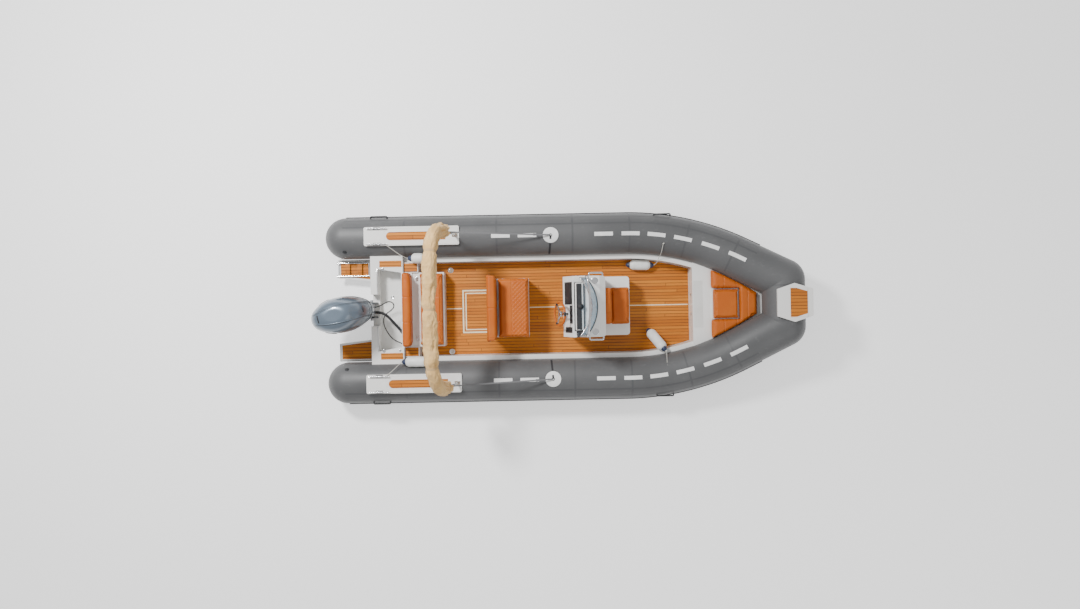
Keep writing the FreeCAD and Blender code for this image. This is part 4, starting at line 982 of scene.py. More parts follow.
@dataclass
class Studio:
    """Pale ground at the waterline, soft lamps and the camera straight above."""

    camera_height: float = 12.0
    camera_y: float = 0.039
    camera_turn: float = -1.11
    lens: float = 26.53
    lamps: tuple[tuple[str, Point, float, float], ...] = (
        ("key", (-5.5, 5.0, 9.0), 1.6, 1560.0), ("fill", (7.0, -6.0, 8.0), 7.0, 220.0))
    sky: float = 0.66
    ground_half: float = 60.0
    ground_colour: Colour = (0.80, 0.80, 0.80)
    ground_lift: float = 0.72

    def build(self) -> None:
        """Build the whole studio."""
        self._ground()
        self._lamps()
        self._camera()

    def _ground(self) -> None:
        """Pale ground, white to the camera and in reflections, which keeps the shadow."""
        half = self.ground_half
        mesh = bpy.data.meshes.new("ground")
        corners = [(-half, -half, 0), (half, -half, 0), (half, half, 0), (-half, half, 0)]
        mesh.from_pydata(corners, [], [(0, 1, 2, 3)])
        net = Net("ground_finish")
        net.surface(Base_Color=self.ground_colour, Roughness=0.9)
        rays = net.add("ShaderNodeLightPath", {}).link.node.outputs
        seen = sum(Sock(net, rays[f"Is {kind} Ray"]) for kind in ("Camera", "Glossy", "Transmission"))
        net.surface(Emission_Color=(1.0, 1.0, 1.0), Emission_Strength=seen * self.ground_lift)
        make_object("ground", mesh, net.material)

    def _lamps(self) -> None:
        """A wide key, a fill and a weak even sky."""
        world = bpy.data.worlds.new("sky")
        bpy.context.scene.world = world
        world.use_nodes = True
        back = world.node_tree.nodes["Background"]
        back.inputs["Color"].default_value = (1, 1, 1, 1)
        back.inputs["Strength"].default_value = self.sky
        for name, spot, size, power in self.lamps:
            lamp = bpy.data.lights.new(name, "AREA")
            lamp.shape = "SQUARE"
            lamp.size = size
            lamp.energy = power
            holder = bpy.data.objects.new(name, lamp)
            holder.location = spot
            holder.rotation_euler = (-Vector(spot)).to_track_quat("-Z", "Y").to_euler()
            bpy.context.scene.collection.objects.link(holder)

    def _camera(self) -> None:
        """The photo's viewpoint, straight down."""
        data = bpy.data.cameras.new("camera")
        data.lens = self.lens
        data.sensor_width = 36.0
        data.clip_end = 200.0
        camera = bpy.data.objects.new("camera", data)
        camera.location = (0.0, self.camera_y, self.camera_height)
        camera.rotation_euler = (0, 0, math.radians(self.camera_turn))
        bpy.context.scene.collection.objects.link(camera)
        bpy.context.scene.camera = camera


# Finishes of the fixed frame

class FrameFinishes:
    """Gives every CAD node its material."""

    table = {
        Finish.GELCOAT: "hull floor_pan side_coamings stern_moulding swim_platforms step_plates bench_base "
                        "bench_lid bench_back helm_base helm_lid helm_back console_body dash_binnacle "
                        "console_lid bow_moulding bow_hatch bow_plate",
        Finish.TUBE: "tube_port tube_starboard tube_bow",
        Finish.RUBBER: "rub_strakes",
        Finish.TEAK: "deck_teak floor_hatch teak_panels",
        Finish.STAINLESS: "swim_ladder cleats mooring_eyes console_rails arch_hinges arch_legs",
        Finish.BLACK: "tube_fittings throttle steering_wheel",
        Finish.FENDER: "fenders",
        Finish.UPHOLSTERY: "bench_cushion bench_back_cushion helm_cushion helm_back_cushion console_cushion "
                           "console_back_cushion bow_hatch_cushion bow_cushions",
        Finish.SCREEN: "windscreen",
        Finish.CANVAS: "sunshade_boot",
        Finish.WEBBING: "stays",
        Finish.ENGINE_DARK: "clamp_bracket cowl_apron",
        Finish.CAST_GREY: "swivel_bracket",
        Finish.ENGINE: "engine_leg cowl gearcase",
        Finish.PROP_STEEL: "propeller",
    }

    def dress(self, nodes: dict) -> None:
        """Put the materials on.

        Args:
            nodes: The frame's nodes by name.
        """
        for finish, names in self.table.items():
            for name in names.split():
                nodes[name].data.materials.clear()
                nodes[name].data.materials.append(finish.material)


# Upholstery

@dataclass(frozen=True)
class Pad:
    """One cushion: the CAD solid that it fills, how it swells and where it is sewn."""

    node: str
    body: Body
    voxel: float
    cap: float
    crown: float
    back_x: float = 0.0
    faces_up: bool = True
    slot_x: float = 0.0
    slot_top: float = 0.0
    seam_x: tuple[float, ...] = ()
    seam_y: tuple[float, ...] = ()
    quilt_from: float = 0.0
    quilt_step: float = 0.0
    piping_up: float = 0.0
    rings_y: tuple[float, ...] = ()


CLOTH = {"quality": 4, "mass": 0.4, "use_pressure": True, "uniform_pressure_force": 4.0,
         "vertex_group_mass": "held", "tension_stiffness": 12.0, "compression_stiffness": 12.0,
         "shear_stiffness": 5.0, "bending_stiffness": 0.4}


@dataclass
class Pads:
    """All cushions, swollen together by one cloth simulation."""

    repeats: Repeats
    shrink: float = 0.007
    groove_depth: float = 0.0055
    groove_width: float = 0.0065
    frames: int = 20
    over: float = 0.004
    welt: float = 0.0038
    rest_gap: float = 0.0004
    edge_width: float = 0.055
    edge_from: float = 0.4
    near: float = 0.004
    slot_wall: float = 0.012
    slot_gap: float = 0.002
    stitch_offset: float = 0.008
    stitch_pitch: float = 0.009
    table: tuple[Pad, ...] = (
        Pad("bench_cushion", Body.BENCH_SEAT, 0.0105, 0.020, 0.016, seam_y=(-0.182, 0.182), seam_x=(-1.452,),
            piping_up=0.74),
        Pad("bench_back_cushion", Body.BOAT, 0.0105, 0.016, 0.0, faces_up=False, slot_x=-1.9475,
            slot_top=0.598, seam_y=(-0.182, 0.182), rings_y=(-0.492, 0.492)),
        Pad("helm_cushion", Body.HELM_SEAT, 0.0105, 0.022, 0.018, seam_x=(-0.405,), quilt_from=-0.395,
            quilt_step=0.062, piping_up=0.74),
        Pad("helm_back_cushion", Body.BOAT, 0.0105, 0.018, 0.0, faces_up=False, slot_x=-0.713, slot_top=0.883,
            rings_y=(-0.418, 0.0, 0.418)),
        Pad("console_cushion", Body.CONSOLE_SEAT, 0.0085, 0.018, 0.014, seam_x=(1.262,), piping_up=0.74),
        Pad("console_back_cushion", Body.BOAT, 0.0095, 0.016, 0.0, back_x=0.9155, faces_up=False,
            seam_y=(-0.09, 0.09)),
        Pad("bow_hatch_cushion", Body.BOW_LID, 0.0095, 0.018, 0.014, seam_x=(2.545,), piping_up=0.74),
        Pad("bow_cushions", Body.BOAT, 0.0105, 0.018, 0.014, seam_x=(2.66, 2.84, 3.0)),
    )

    def build(self, nodes: dict) -> None:
        """Make, swell and sew all pads.

        Args:
            nodes: The frame's nodes.
        """
        made = [(pad, self._blank(pad, nodes[pad.node])) for pad in self.table]
        self._simulate([piece for _, piece in made])
        stitches: dict[Body, list[tuple[Vector, Vector]]] = {}
        for pad, piece in made:
            self._settle(pad, piece)
            self._sew(pad, piece)
            place(piece, pad.body, "upholstery", pad.node)
            self._trim(pad, piece, stitches.setdefault(pad.body, []))
        for body, spots in stitches.items():
            if spots:
                piece = self.repeats.on_points(f"stitches_{body.value}", spots, (0.0006, 0.0006, 0.0026),
                                               Finish.THREAD, 6, 3)
                place(piece, body, "upholstery")

    def _blank(self, pad: Pad, node: bpy.types.Object) -> bpy.types.Object:
        """Closed, evenly meshed copy of the CAD solid, a little smaller, with its edges let down."""
        shape = bmesh.new()
        shape.from_mesh(node.data)
        bmesh.ops.remove_doubles(shape, verts=shape.verts, dist=1e-5)
        piece = finish_mesh("pad_" + pad.node, shape, Finish.UPHOLSTERY)
        modify(piece, "REMESH", mode="VOXEL", voxel_size=pad.voxel)
        bake_modifiers(piece)
        low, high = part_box(pad.node)
        pinned = piece.vertex_groups.new(name="held")
        mesh = piece.data
        normals = [vertex.normal.copy() for vertex in mesh.vertices]
        for vertex, normal in zip(mesh.vertices, normals):
            if self._held(pad, vertex.co, low):
                pinned.add([vertex.index], 1.0, "REPLACE")
                continue
            vertex.co -= normal * self.shrink
            if pad.faces_up and vertex.co.z > low.z + self.edge_from * (high.z - low.z):
                edge = min(min(vertex.co[axis] - low[axis], high[axis] - vertex.co[axis]) for axis in (0, 1))
                vertex.co.z -= pad.crown * math.exp(-(max(edge, 0.0) / self.edge_width) ** 2)
        for face in mesh.polygons:
            face.use_smooth = True
        rest = mesh.attributes.new("rest_place", "FLOAT_VECTOR", "POINT")
        for item, vertex in zip(rest.data, mesh.vertices):
            item.vector = vertex.co
        return piece

    def _held(self, pad: Pad, point: Vector, low: Vector) -> bool:
        """Whether a point rests on what carries the pad."""
        at_foot = point.z < low.z + self.near
        if pad.faces_up:
            return at_foot
        if pad.slot_x:
            wall = low.x + self.slot_wall
            in_slot = wall < point.x < pad.slot_x + self.slot_gap and point.z < pad.slot_top + self.near
            return at_foot or in_slot or (point.x < wall and point.z < pad.slot_top)
        return point.x < pad.back_x + self.near

    def _simulate(self, pieces: Sequence[bpy.types.Object]) -> None:
        """Swell all the pads by pressure, with gravity off."""
        scene = bpy.context.scene
        for piece in pieces:
            cloth = modify(piece, "CLOTH")
            for key, value in CLOTH.items():
                setattr(cloth.settings, key, value)
            cloth.settings.effector_weights.gravity = 0.0
            cloth.collision_settings.use_collision = False
            cloth.point_cache.frame_start = 1
            cloth.point_cache.frame_end = self.frames
        for step in range(1, self.frames + 1):
            scene.frame_set(step)
        for piece in pieces:
            bake_modifiers(piece)
        scene.frame_set(1)

    def _settle(self, pad: Pad, piece: bpy.types.Object) -> None:
        """Cap the swelling, keep the pad on its seat and inside its CAD box, and refine it once."""
        low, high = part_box(pad.node)
        mesh = piece.data
        rest = [item.vector.copy() for item in mesh.attributes["rest_place"].data]
        for vertex, start in zip(mesh.vertices, rest):
            shift = vertex.co - start
            if shift.length > pad.cap:
                vertex.co = start + shift * (pad.cap / shift.length)
            if not math.isfinite(vertex.co.x + vertex.co.y + vertex.co.z):
                vertex.co = start
            for axis in range(3):
                seated = axis == 2 or (axis == 0 and not pad.faces_up)
                least = low[axis] + (self.rest_gap if seated else -self.over)
                vertex.co[axis] = min(max(vertex.co[axis], least), high[axis] + self.over)
        if pad.back_x:
            for vertex in mesh.vertices:
                vertex.co.x = max(vertex.co.x, pad.back_x + self.rest_gap)
        mesh.attributes.remove(mesh.attributes["rest_place"])
        piece.vertex_groups.clear()
        modify(piece, "SUBSURF", levels=1, render_levels=1)
        bake_modifiers(piece)

    def _seam_gap(self, pad: Pad, point: Vector) -> float:
        """Distance from a point to the nearest sewn line of the pad."""
        gaps = [1.0, *(abs(point.x - seam) for seam in pad.seam_x)]
        gaps += [abs(point.y - seam) for seam in pad.seam_y + pad.rings_y]
        if pad.quilt_step and point.x > pad.quilt_from:
            for diagonal in (point.x + point.y, point.x - point.y):
                share = diagonal / pad.quilt_step
                gaps.append(abs(share - round(share)) * pad.quilt_step * 0.707)
        return min(gaps)

    def _sew(self, pad: Pad, piece: bpy.types.Object) -> None:
        """Press the sewn channels into the pad."""
        low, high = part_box(pad.node)
        mesh = piece.data
        normals = [vertex.normal.copy() for vertex in mesh.vertices]
        for vertex, normal in zip(mesh.vertices, normals):
            point = vertex.co
            hidden = point.z < (low.z + high.z) / 2 if pad.faces_up else self._held(pad, point, low)
            if not hidden:
                depth = self.groove_depth * math.exp(-(self._seam_gap(pad, point) / self.groove_width) ** 2)
                vertex.co = point - normal * depth

    def _trim(self, pad: Pad, piece: bpy.types.Object, stitches: list[tuple[Vector, Vector]]) -> None:
        """Welts round the pad and stitches beside its seams."""
        surface = BVHTree.FromObject(piece, bpy.context.evaluated_depsgraph_get())
        low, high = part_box(pad.node)
        welts = []
        if pad.piping_up:
            level = low.z + pad.piping_up * (high.z - low.z)
            welts.append(self._loop_round(surface, (low + high) / 2, level, high - low))
        welts += [self._ring_at(surface, low, high, y, pad) for y in pad.rings_y if abs(y) > 0.1]
        if welts:
            builder = Builder()
            for line in welts:
                builder.tube(line, self.welt, 8, closed=True)
            builder.fit("welt_" + pad.node, Finish.PIPING, body=pad.body)
        if pad.faces_up:
            offsets = (-self.stitch_offset, self.stitch_offset)
            seams = [((x + offset, low.y), (x + offset, high.y)) for x in pad.seam_x for offset in offsets]
            seams += [((low.x, y + offset), (high.x, y + offset)) for y in pad.seam_y for offset in offsets]
            for start, end in seams:
                stitches += self._stitch_line(surface, Vector((*start, high.z)), Vector((*end, high.z)))

    @staticmethod
    def _loop_round(surface: BVHTree, centre: Vector, level: float, size: Vector,
                    count: int = 220) -> list[Vector]:
        """Line round a pad at one height, found by looking at it from all sides."""
        line = []
        half = Vector((size.x / 2, size.y / 2, 0))
        for angle in turns(count):
            turn = Vector((math.cos(angle), math.sin(angle), 0))
            corner = Vector([reach * 1.2 * max(-1, min(1, 1.5 * share))
                             for reach, share in zip(half, turn)])
            start = Vector((centre.x, centre.y, level)) + corner
            inward = half * turn * 0.15 - corner
            hit = surface.ray_cast(start, inward.normalized(), 3.0)[0]
            if hit is not None:
                line.append(hit)
        return line

    @staticmethod
    def _ring_at(surface: BVHTree, low: Vector, high: Vector, y: float, pad: Pad,
                 count: int = 40) -> list[Vector]:
        """Line round the seat-side of a back roll at one station across, closed behind it."""
        top = Vector((max(pad.slot_x, low.x) + 0.035, y, high.z - 0.05))
        line = []
        for index in range(count):
            share = index / (count - 1)
            if share < 0.5:
                start = Vector((high.x + 0.1, y, low.z + 0.01 + (high.z - low.z - 0.05) * share * 2))
                aim = Vector((-1, 0, 0))
            else:
                turn = math.pi * 0.62 * (share - 0.5) * 2
                start = top + Vector((math.cos(turn), 0, math.sin(turn))) * 0.3
                aim = top - start
            hit = surface.ray_cast(start, aim.normalized(), 1.0)[0]
            if hit is not None:
                line.append(hit)
        return line

    def _stitch_line(self, surface: BVHTree, start: Vector, end: Vector) -> list[tuple[Vector, Vector]]:
        """Stitches on the top of a pad along a straight seam."""
        found = []
        count = int((end - start).length / self.stitch_pitch)
        along = (end - start).normalized()
        for index in range(2, count - 1):
            spot = start + along * (index * self.stitch_pitch) + Vector((0, 0, 0.1))
            hit, normal = surface.ray_cast(spot, -UP, 0.3)[:2]
            if hit is not None and normal.z > 0.75:
                found.append((hit + normal * 0.0002, along - normal * along.dot(normal)))
        return found


# Sunshade

BUCKLE = ((0, 0.017), (0.004, 0.018), (0.007, 0.014), (0.008, 0.008))
SCREW_HEAD = ((0, 0.006), (0.002, 0.006), (0.0038, 0.0042), (0.0042, 0.0015))
COLLAR = ((0, 0.0145), (0, 0.0185), (0.04, 0.0185), (0.044, 0.0145))


@dataclass
class Sunshade:
    """Folded canopy in its cover on the arch, with its straps and stays."""

    hinge: Point = (-1.2, 1.056, 0.676)
    lean: float = 11.0
    radius: float = 0.087
    length_steps: int = 400
    ring_steps: int = 80
    strap_width: float = 0.026
    strap_shares: tuple[float, ...] = (0.045, 0.26, 0.5, 0.74, 0.955)
    strap_reach: float = 0.16
    end_taper: float = 0.07
    end_radius: float = 0.0185
    lump_depth: float = 0.014
    fine_depth: float = 0.0034
    crease_depth: float = 0.0085
    tuck_depth: float = 0.062
    sag_depth: float = 0.010
    pinch_depth: float = 0.0135
    pinch_width: float = 0.038
    gather_depth: float = 0.0032
    gather_at: float = 0.045
    gather_width: float = 0.03
    stay_top: tuple[float, float] = (1.060, 0.386)
    stay_off_leg: float = 0.0165
    patch_y: float = 1.03
    tube_height: float = 0.320
    ring_top: float = 0.316
    ring_off_top: float = 0.026
    screw_grid: tuple[float, float] = (0.030, 0.016)
    foot_top: float = 0.6398
    collar_ends: tuple[tuple[float, float], ...] = ((1.0572, 0.325), (1.0585, 0.372))
    half_line: tuple[tuple[float, float], ...] = (
        (1.056, 0.402), (1.0595, 0.63), (1.037, 0.791), (0.968, 0.916), (0.934, 0.957), (0.814, 1.055),
        (0.6655, 1.098), (0.35, 1.1226))
    crown: float = 1.1487

    def build(self) -> None:
        """Build the cover, its straps, the leg ends and the stays."""
        self.line = self._centreline()
        self._cover()
        self._straps()
        for side, label in SIDES:
            self._stay(side, label)
            self._hinge_details(side, label)
        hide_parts("stays")

    def _on_arch(self, y: float, rise: float) -> Vector:
        """Place on the leaning arch."""
        lean = math.radians(self.lean)
        return Vector((self.hinge[0] - rise * math.sin(lean), y, self.hinge[2] + rise * math.cos(lean)))

    def _centreline(self) -> list[Vector]:
        """Evenly spaced points along the cover's middle."""
        pairs = [*self.half_line, (0.0, self.crown)] + [(-y, rise) for y, rise in reversed(self.half_line)]
        fine = smooth_path([self._on_arch(y, rise) for y, rise in pairs], 24)
        runs = runs_along(fine)
        self.length = runs[-1]
        self.strap_places = [self.length * share for share in self.strap_shares]
        even = []
        at = 0
        for goal in steps(0, self.length, self.length_steps):
            while at < len(runs) - 2 and runs[at + 1] < goal:
                at += 1
            even.append(fine[at].lerp(fine[at + 1], (goal - runs[at]) / (runs[at + 1] - runs[at])))
        return even

    def _skin_radius(self, along: float, around: float) -> float:
        """Radius of the cover: lumps of the folded cloth, creases and the pinch of each strap."""
        east, north = math.cos(around), math.sin(around)
        lump = noise.noise(Vector((along * 3.1, east * 0.9 + 3, north * 0.9)))
        fold = noise.noise(Vector((along * 8.5 + 5, east * 1.5, north * 1.5 + 7)))
        fine = noise.noise(Vector((along * 26, east * 2.6 + 1, north * 2.6)))
        crease = 1 - abs(noise.noise(Vector((along * 13 + north * 1.2, east * 2.2, north * 2.2 + 2)))) * 2.4
        sag = self.sag_depth * max(0.0, -north)
        tuck = max(0.0, noise.noise(Vector((along * 5.2 + 11, east * 0.7, north * 2.1))) - 0.05)
        radius = self.radius + self.lump_depth * lump + self.lump_depth * fold + self.fine_depth * fine
        radius += (self.crease_depth * max(0.0, crease) ** 3 + sag
                   - self.tuck_depth * tuck * max(0.0, east + 0.25))
        for middle in self.strap_places:
            near = abs(along - middle)
            if near < self.strap_reach:
                pinch = math.exp(-(near / self.pinch_width) ** 2)
                gather = math.exp(-((near - self.gather_at) / self.gather_width) ** 2)
                radius += (self.radius - self.pinch_depth - radius) * pinch * 0.85
                radius += self.gather_depth * math.cos(around * 11 + middle * 40) * gather
        end = min(along, self.length - along) / self.end_taper
        if end < 1:
            radius = self.end_radius + (radius - self.end_radius) * math.sin(math.pi / 2 * end) ** 0.7
            radius += 0.006 * math.cos(around * 9) * end * (1 - end)
        return radius

    def _ring(self, index: int) -> tuple[Vector, Vector, Vector]:
        """Middle, forward and upward directions of the cover at a step."""
        before = self.line[max(index - 1, 0)]
        after = self.line[min(index + 1, self.length_steps)]
        heading = (after - before).normalized()
        lean = math.radians(self.lean)
        ahead = Vector((math.cos(lean), 0, math.sin(lean)))
        ahead = (ahead - heading * heading.dot(ahead)).normalized()
        return self.line[index], ahead, ahead.cross(heading)

    def _cover(self) -> None:
        """The canvas cover as one closed sleeve with its cloth's measure as UV."""
        builder = Builder()
        runs = steps(0, self.length, self.length_steps)
        builder.rings([[self._cover_point(along, around, 0.0) for around in turns(self.ring_steps)]
                       for along in runs])
        builder.measure(runs, 2 * math.pi * self.radius)
        cover = finish_mesh("canopy_cover", builder.shape, Finish.CANVAS)
        place(cover, Body.SUNSHADE, "canvas", "sunshade_boot")

    def _straps(self) -> None:
        """Webbing straps round the cover, each with a buckle, and the zip along its underside."""
        builder = Builder()
        for number, middle in enumerate(self.strap_places):
            us = steps(middle - self.strap_width / 2, middle + self.strap_width / 2, 4)
            builder.sheet(self._cover_point, us, steps(0, 2 * math.pi * 0.999, 64), 0.0026)
            turn = 0.5 + 0.3 * (number % 3)
            spot = self._cover_point(middle, turn, 0.004)
            out = (spot - self._cover_point(middle, turn, -0.02)).normalized()
            builder.lathe(spot - out * 0.004, out, BUCKLE, 16, 1)
        builder.sheet(self._cover_point, steps(0.09, self.length - 0.09, 300), steps(3.55, 3.78, 3), 0.0022)
        builder.fit("cover_straps", Finish.CANVAS_STRAP, Finish.BLACK, body=Body.SUNSHADE)

    def _cover_point(self, along: float, around: float, lift: float) -> Vector:
        """Point on the cover at a distance along it."""
        index = min(self.length_steps, max(0, round(self.length_steps * along / self.length)))
        share = self.length_steps * along / self.length - index
        middle, ahead, up = self._ring(index)
        near = self._ring(min(self.length_steps, max(0, index + (1 if share > 0 else -1))))[0]
        middle = middle.lerp(near, abs(share))
        reach = self._skin_radius(along, around) + lift
        return middle + (ahead * math.cos(around) + up * math.sin(around)) * reach

    def _stay(self, side: int, label: str) -> bpy.types.Object:
        """Flat strap from the arch leg to the round patch on the tube."""
        high = self._on_arch(*self.stay_top) + Vector((self.stay_off_leg, 0, 0))
        high.y *= side
        drop = self.tube_height + math.sqrt(self.ring_top ** 2 - self.ring_off_top ** 2)
        low = Vector((PATCH_X, side * self.patch_y, drop + 0.005))
        builder = Builder()
        axis = (high - low).normalized()
        flat = axis.cross(ACROSS).normalized() * 0.0011

        def bar(start: Vector, run: Vector, half: float, thick: float, slot: int) -> None:
            """Flat bar along the strap."""
            wide, deep = Vector((0, half, 0)), flat * thick
            corners = [start - wide - deep, start + wide - deep, start + wide + deep, start - wide + deep]
            builder.prism(corners, run, slot)

        bar(low + axis * 0.012, high - low - axis * 0.016, 0.0105, 1, 0)
        for share in (0.16, 0.86):
            bar(low.lerp(high, share) - axis * 0.021, axis * 0.042, 0.016, 3, 1)
        piece = builder.done(f"stay_strap_{label}", Finish.WEBBING, Finish.BLACK)
        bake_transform(piece)
        return piece

    def _hinge_details(self, side: int, label: str) -> None:
        """Screws in the hinge foot and the collar at the end of the leg."""
        screws = Builder()
        reach, wide = self.screw_grid
        for dx in (-reach, reach):
            for dy in (-wide, wide):
                base = (self.hinge[0] + dx, side * (self.hinge[1] + dy), self.foot_top)
                screws.lathe(base, UP, SCREW_HEAD, 16)
        screws.fit(f"hinge_screws_{label}", Finish.STAINLESS)
        collar = Builder()
        foot, top = (self._on_arch(*end) for end in self.collar_ends)
        foot.y *= side
        top.y *= side
        collar.lathe(foot, top - foot, COLLAR, 24)
        collar.fit(f"leg_collar_{label}", Finish.BLACK, body=Body.SUNSHADE)


# Tube markings and fittings

PATCH_RINGS = ((1.0, 0.0052), (1.0, 0.0068), (0.97, 0.0074), (0.7, 0.0076), (0.35, 0.0076))


@dataclass
class TubeDress:
    """Marks, seam tapes, cover strips and patches on the buoyancy tubes."""

    dash_length: float = 0.265
    dash_width: float = 0.055
    dash_angle: float = -0.075
    aft_starts: tuple[float, ...] = (-0.68, -0.30)
    bow_starts: tuple[float, ...] = (0.797, 1.186, 1.571, 1.96, 2.36, 2.74)
    tapes: tuple[float, ...] = (-1.95, -0.62, 0.47, 1.29, 2.12, 2.78)
    tape_width: float = 0.028
    tape_thick: float = 0.0009
    tape_span: tuple[float, float] = (-1.15, 1.35)
    mark_thick: float = 0.0022
    strips: tuple[float, ...] = (0.93, 0.47)
    strip_end: float = 3.05
    strip_half: float = 0.045
    strip_thick: float = 0.0007
    patch_radius: float = 0.112
    patch_around: float = -0.087
    bow_axis: tuple[float, float] = (3.48, 0.62)
    bow_tapes: tuple[float, ...] = (-0.26, 0.232)
    bow_span: tuple[float, float] = (-0.9, 2.1)

    def build(self) -> None:
        """Build everything for both sides."""
        for side, label in SIDES:
            skin = partial(PATH.skin, side=side)
            self._marks(skin, label)
            self._tapes(skin, label)
            self._patch(skin, label)
        self._bow_tape()

    def _marks(self, skin: Surface, label: str) -> None:
        """White dashes along the tube's top."""
        builder = Builder()
        half = self.dash_width / 2 / PATH.radius
        for x in self.aft_starts + self.bow_starts:
            start = PATH.along_x(x)
            builder.sheet(skin, steps(start, start + self.dash_length, 12),
                          steps(self.dash_angle - half, self.dash_angle + half, 6), self.mark_thick)
        builder.fit(f"tube_marks_{label}", Finish.WHITE_MARK)

    def _tapes(self, skin: Surface, label: str) -> None:
        """Seam tapes round the tube and the cover strips on its inner side."""
        builder = Builder()
        for x in self.tapes:
            start = PATH.along_x(x)
            builder.sheet(skin, steps(start, start + self.tape_width, 3), steps(*self.tape_span, 34),
                          self.tape_thick)
        for around in self.strips:
            builder.sheet(skin, steps(0.0, PATH.along_x(self.strip_end), 160),
                          steps(around - self.strip_half, around + self.strip_half, 3), self.strip_thick)
        builder.fit(f"seam_tapes_{label}", Finish.SEAM)

    def _patch(self, skin: Surface, label: str) -> None:
        """Round white patch under the strap's ring."""
        builder = Builder()
        middle = PATH.along_x(PATCH_X)
        rings = []
        for share, lift in PATCH_RINGS:
            reach = self.patch_radius * share
            rings.append([skin(middle + reach * math.cos(turn),
                               self.patch_around + reach * math.sin(turn) / PATH.radius, lift)
                          for turn in turns(48)])
        builder.rings(rings)
        builder.fit(f"round_patch_{label}", Finish.WHITE_MARK)

    def _bow_tape(self) -> None:
        """Reinforcing band round the bow tube on each side of the plate."""
        builder = Builder()
        x, z = self.bow_axis
        for y in self.bow_tapes:
            def band(u: float, v: float, lift: float, y: float = y) -> Vector:
                """Point on the bow tube."""
                reach = PATH.radius + lift
                return Vector((x + reach * math.sin(v), y + u, z + reach * math.cos(v)))
            builder.sheet(band, steps(0, self.tape_width, 2), steps(*self.bow_span, 40), self.tape_thick)
        builder.fit("seam_tapes_bow", Finish.SEAM)


# Engine lines and fender lines

@dataclass
class Line:
    """One round line along a smooth route."""

    name: str
    route: tuple[Point, ...]
    radius: float
    sides: int = 16

    def spine(self) -> list[Vector]:
        """Points read from the route's NURBS spline."""
        curve = bpy.data.curves.new(self.name + "_route", "CURVE")
        curve.dimensions = "3D"
        curve.resolution_u = 14
        spline = curve.splines.new("NURBS")
        spline.points.add(len(self.route) - 1)
        for control, spot in zip(spline.points, self.route):
            control.co = (*spot, 1)
        spline.order_u = 3
        spline.use_endpoint_u = True
        holder = bpy.data.objects.new(self.name + "_route", curve)
        bpy.context.scene.collection.objects.link(holder)
        graph = bpy.context.evaluated_depsgraph_get()
        mesh = bpy.data.meshes.new_from_object(holder.evaluated_get(graph))
        points = [vertex.co.copy() for vertex in mesh.vertices]
        bpy.data.objects.remove(holder)
        bpy.data.curves.remove(curve)
        bpy.data.meshes.remove(mesh)
        return points

    def build(self, finish: Finish) -> tuple[bpy.types.Object, list[Vector]]:
        """Build the tube with its measure as UV.

        Args:
            finish: Its finish.

        Returns:
            The piece and the points that it follows.
        """
        points = self.spine()
        builder = Builder()
        builder.tube(points, self.radius, self.sides)
        builder.measure(runs_along(points), 1.0)
        return builder.done(self.name, finish), points


@dataclass
class EngineLines:
    """The rigging hose and the control cable between the engine and the well."""

    hose: tuple[Point, ...] = (
        (-2.393, -0.030, 0.445), (-2.300, -0.028, 0.456), (-2.205, -0.095, 0.436), (-2.125, -0.200, 0.390),
        (-2.040, -0.305, 0.345))
    cable: tuple[Point, ...] = (
        (-2.393, 0.046, 0.452), (-2.330, 0.056, 0.468), (-2.264, 0.092, 0.482), (-2.194, 0.128, 0.486),
        (-2.126, 0.108, 0.482), (-2.108, 0.044, 0.482), (-2.158, -0.008, 0.488), (-2.226, -0.052, 0.490),
        (-2.270, -0.122, 0.474), (-2.272, -0.212, 0.448), (-2.238, -0.304, 0.418), (-2.188, -0.388, 0.392),
        (-2.120, -0.452, 0.372), (-2.036, -0.488, 0.360))

    def build(self) -> None:
        """Build both lines."""
        self._line("rigging_hose", self.hose, 0.020)
        self._line("engine_cable", self.cable, 0.008)

    def _line(self, node: str, route: tuple[Point, ...], radius: float) -> None:
        """Build one line between the boat and the tilting bracket."""
        piece, points = Line("line_" + node, route, radius, 20).build(Finish.RUBBER)
        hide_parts(node)
        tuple(route[-1])
        runs_along(points)[-1]
        [tuple(point) for point in points]
        tuple(route[-2])
        tuple(route[0])
        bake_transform(piece)
        tally(piece)


FENDER_END = ((0, 0.030), (0.012, 0.0440), (0.030, 0.0400), (0.048, 0.0300), (0.060, 0.0170), (0.064, 0.009))


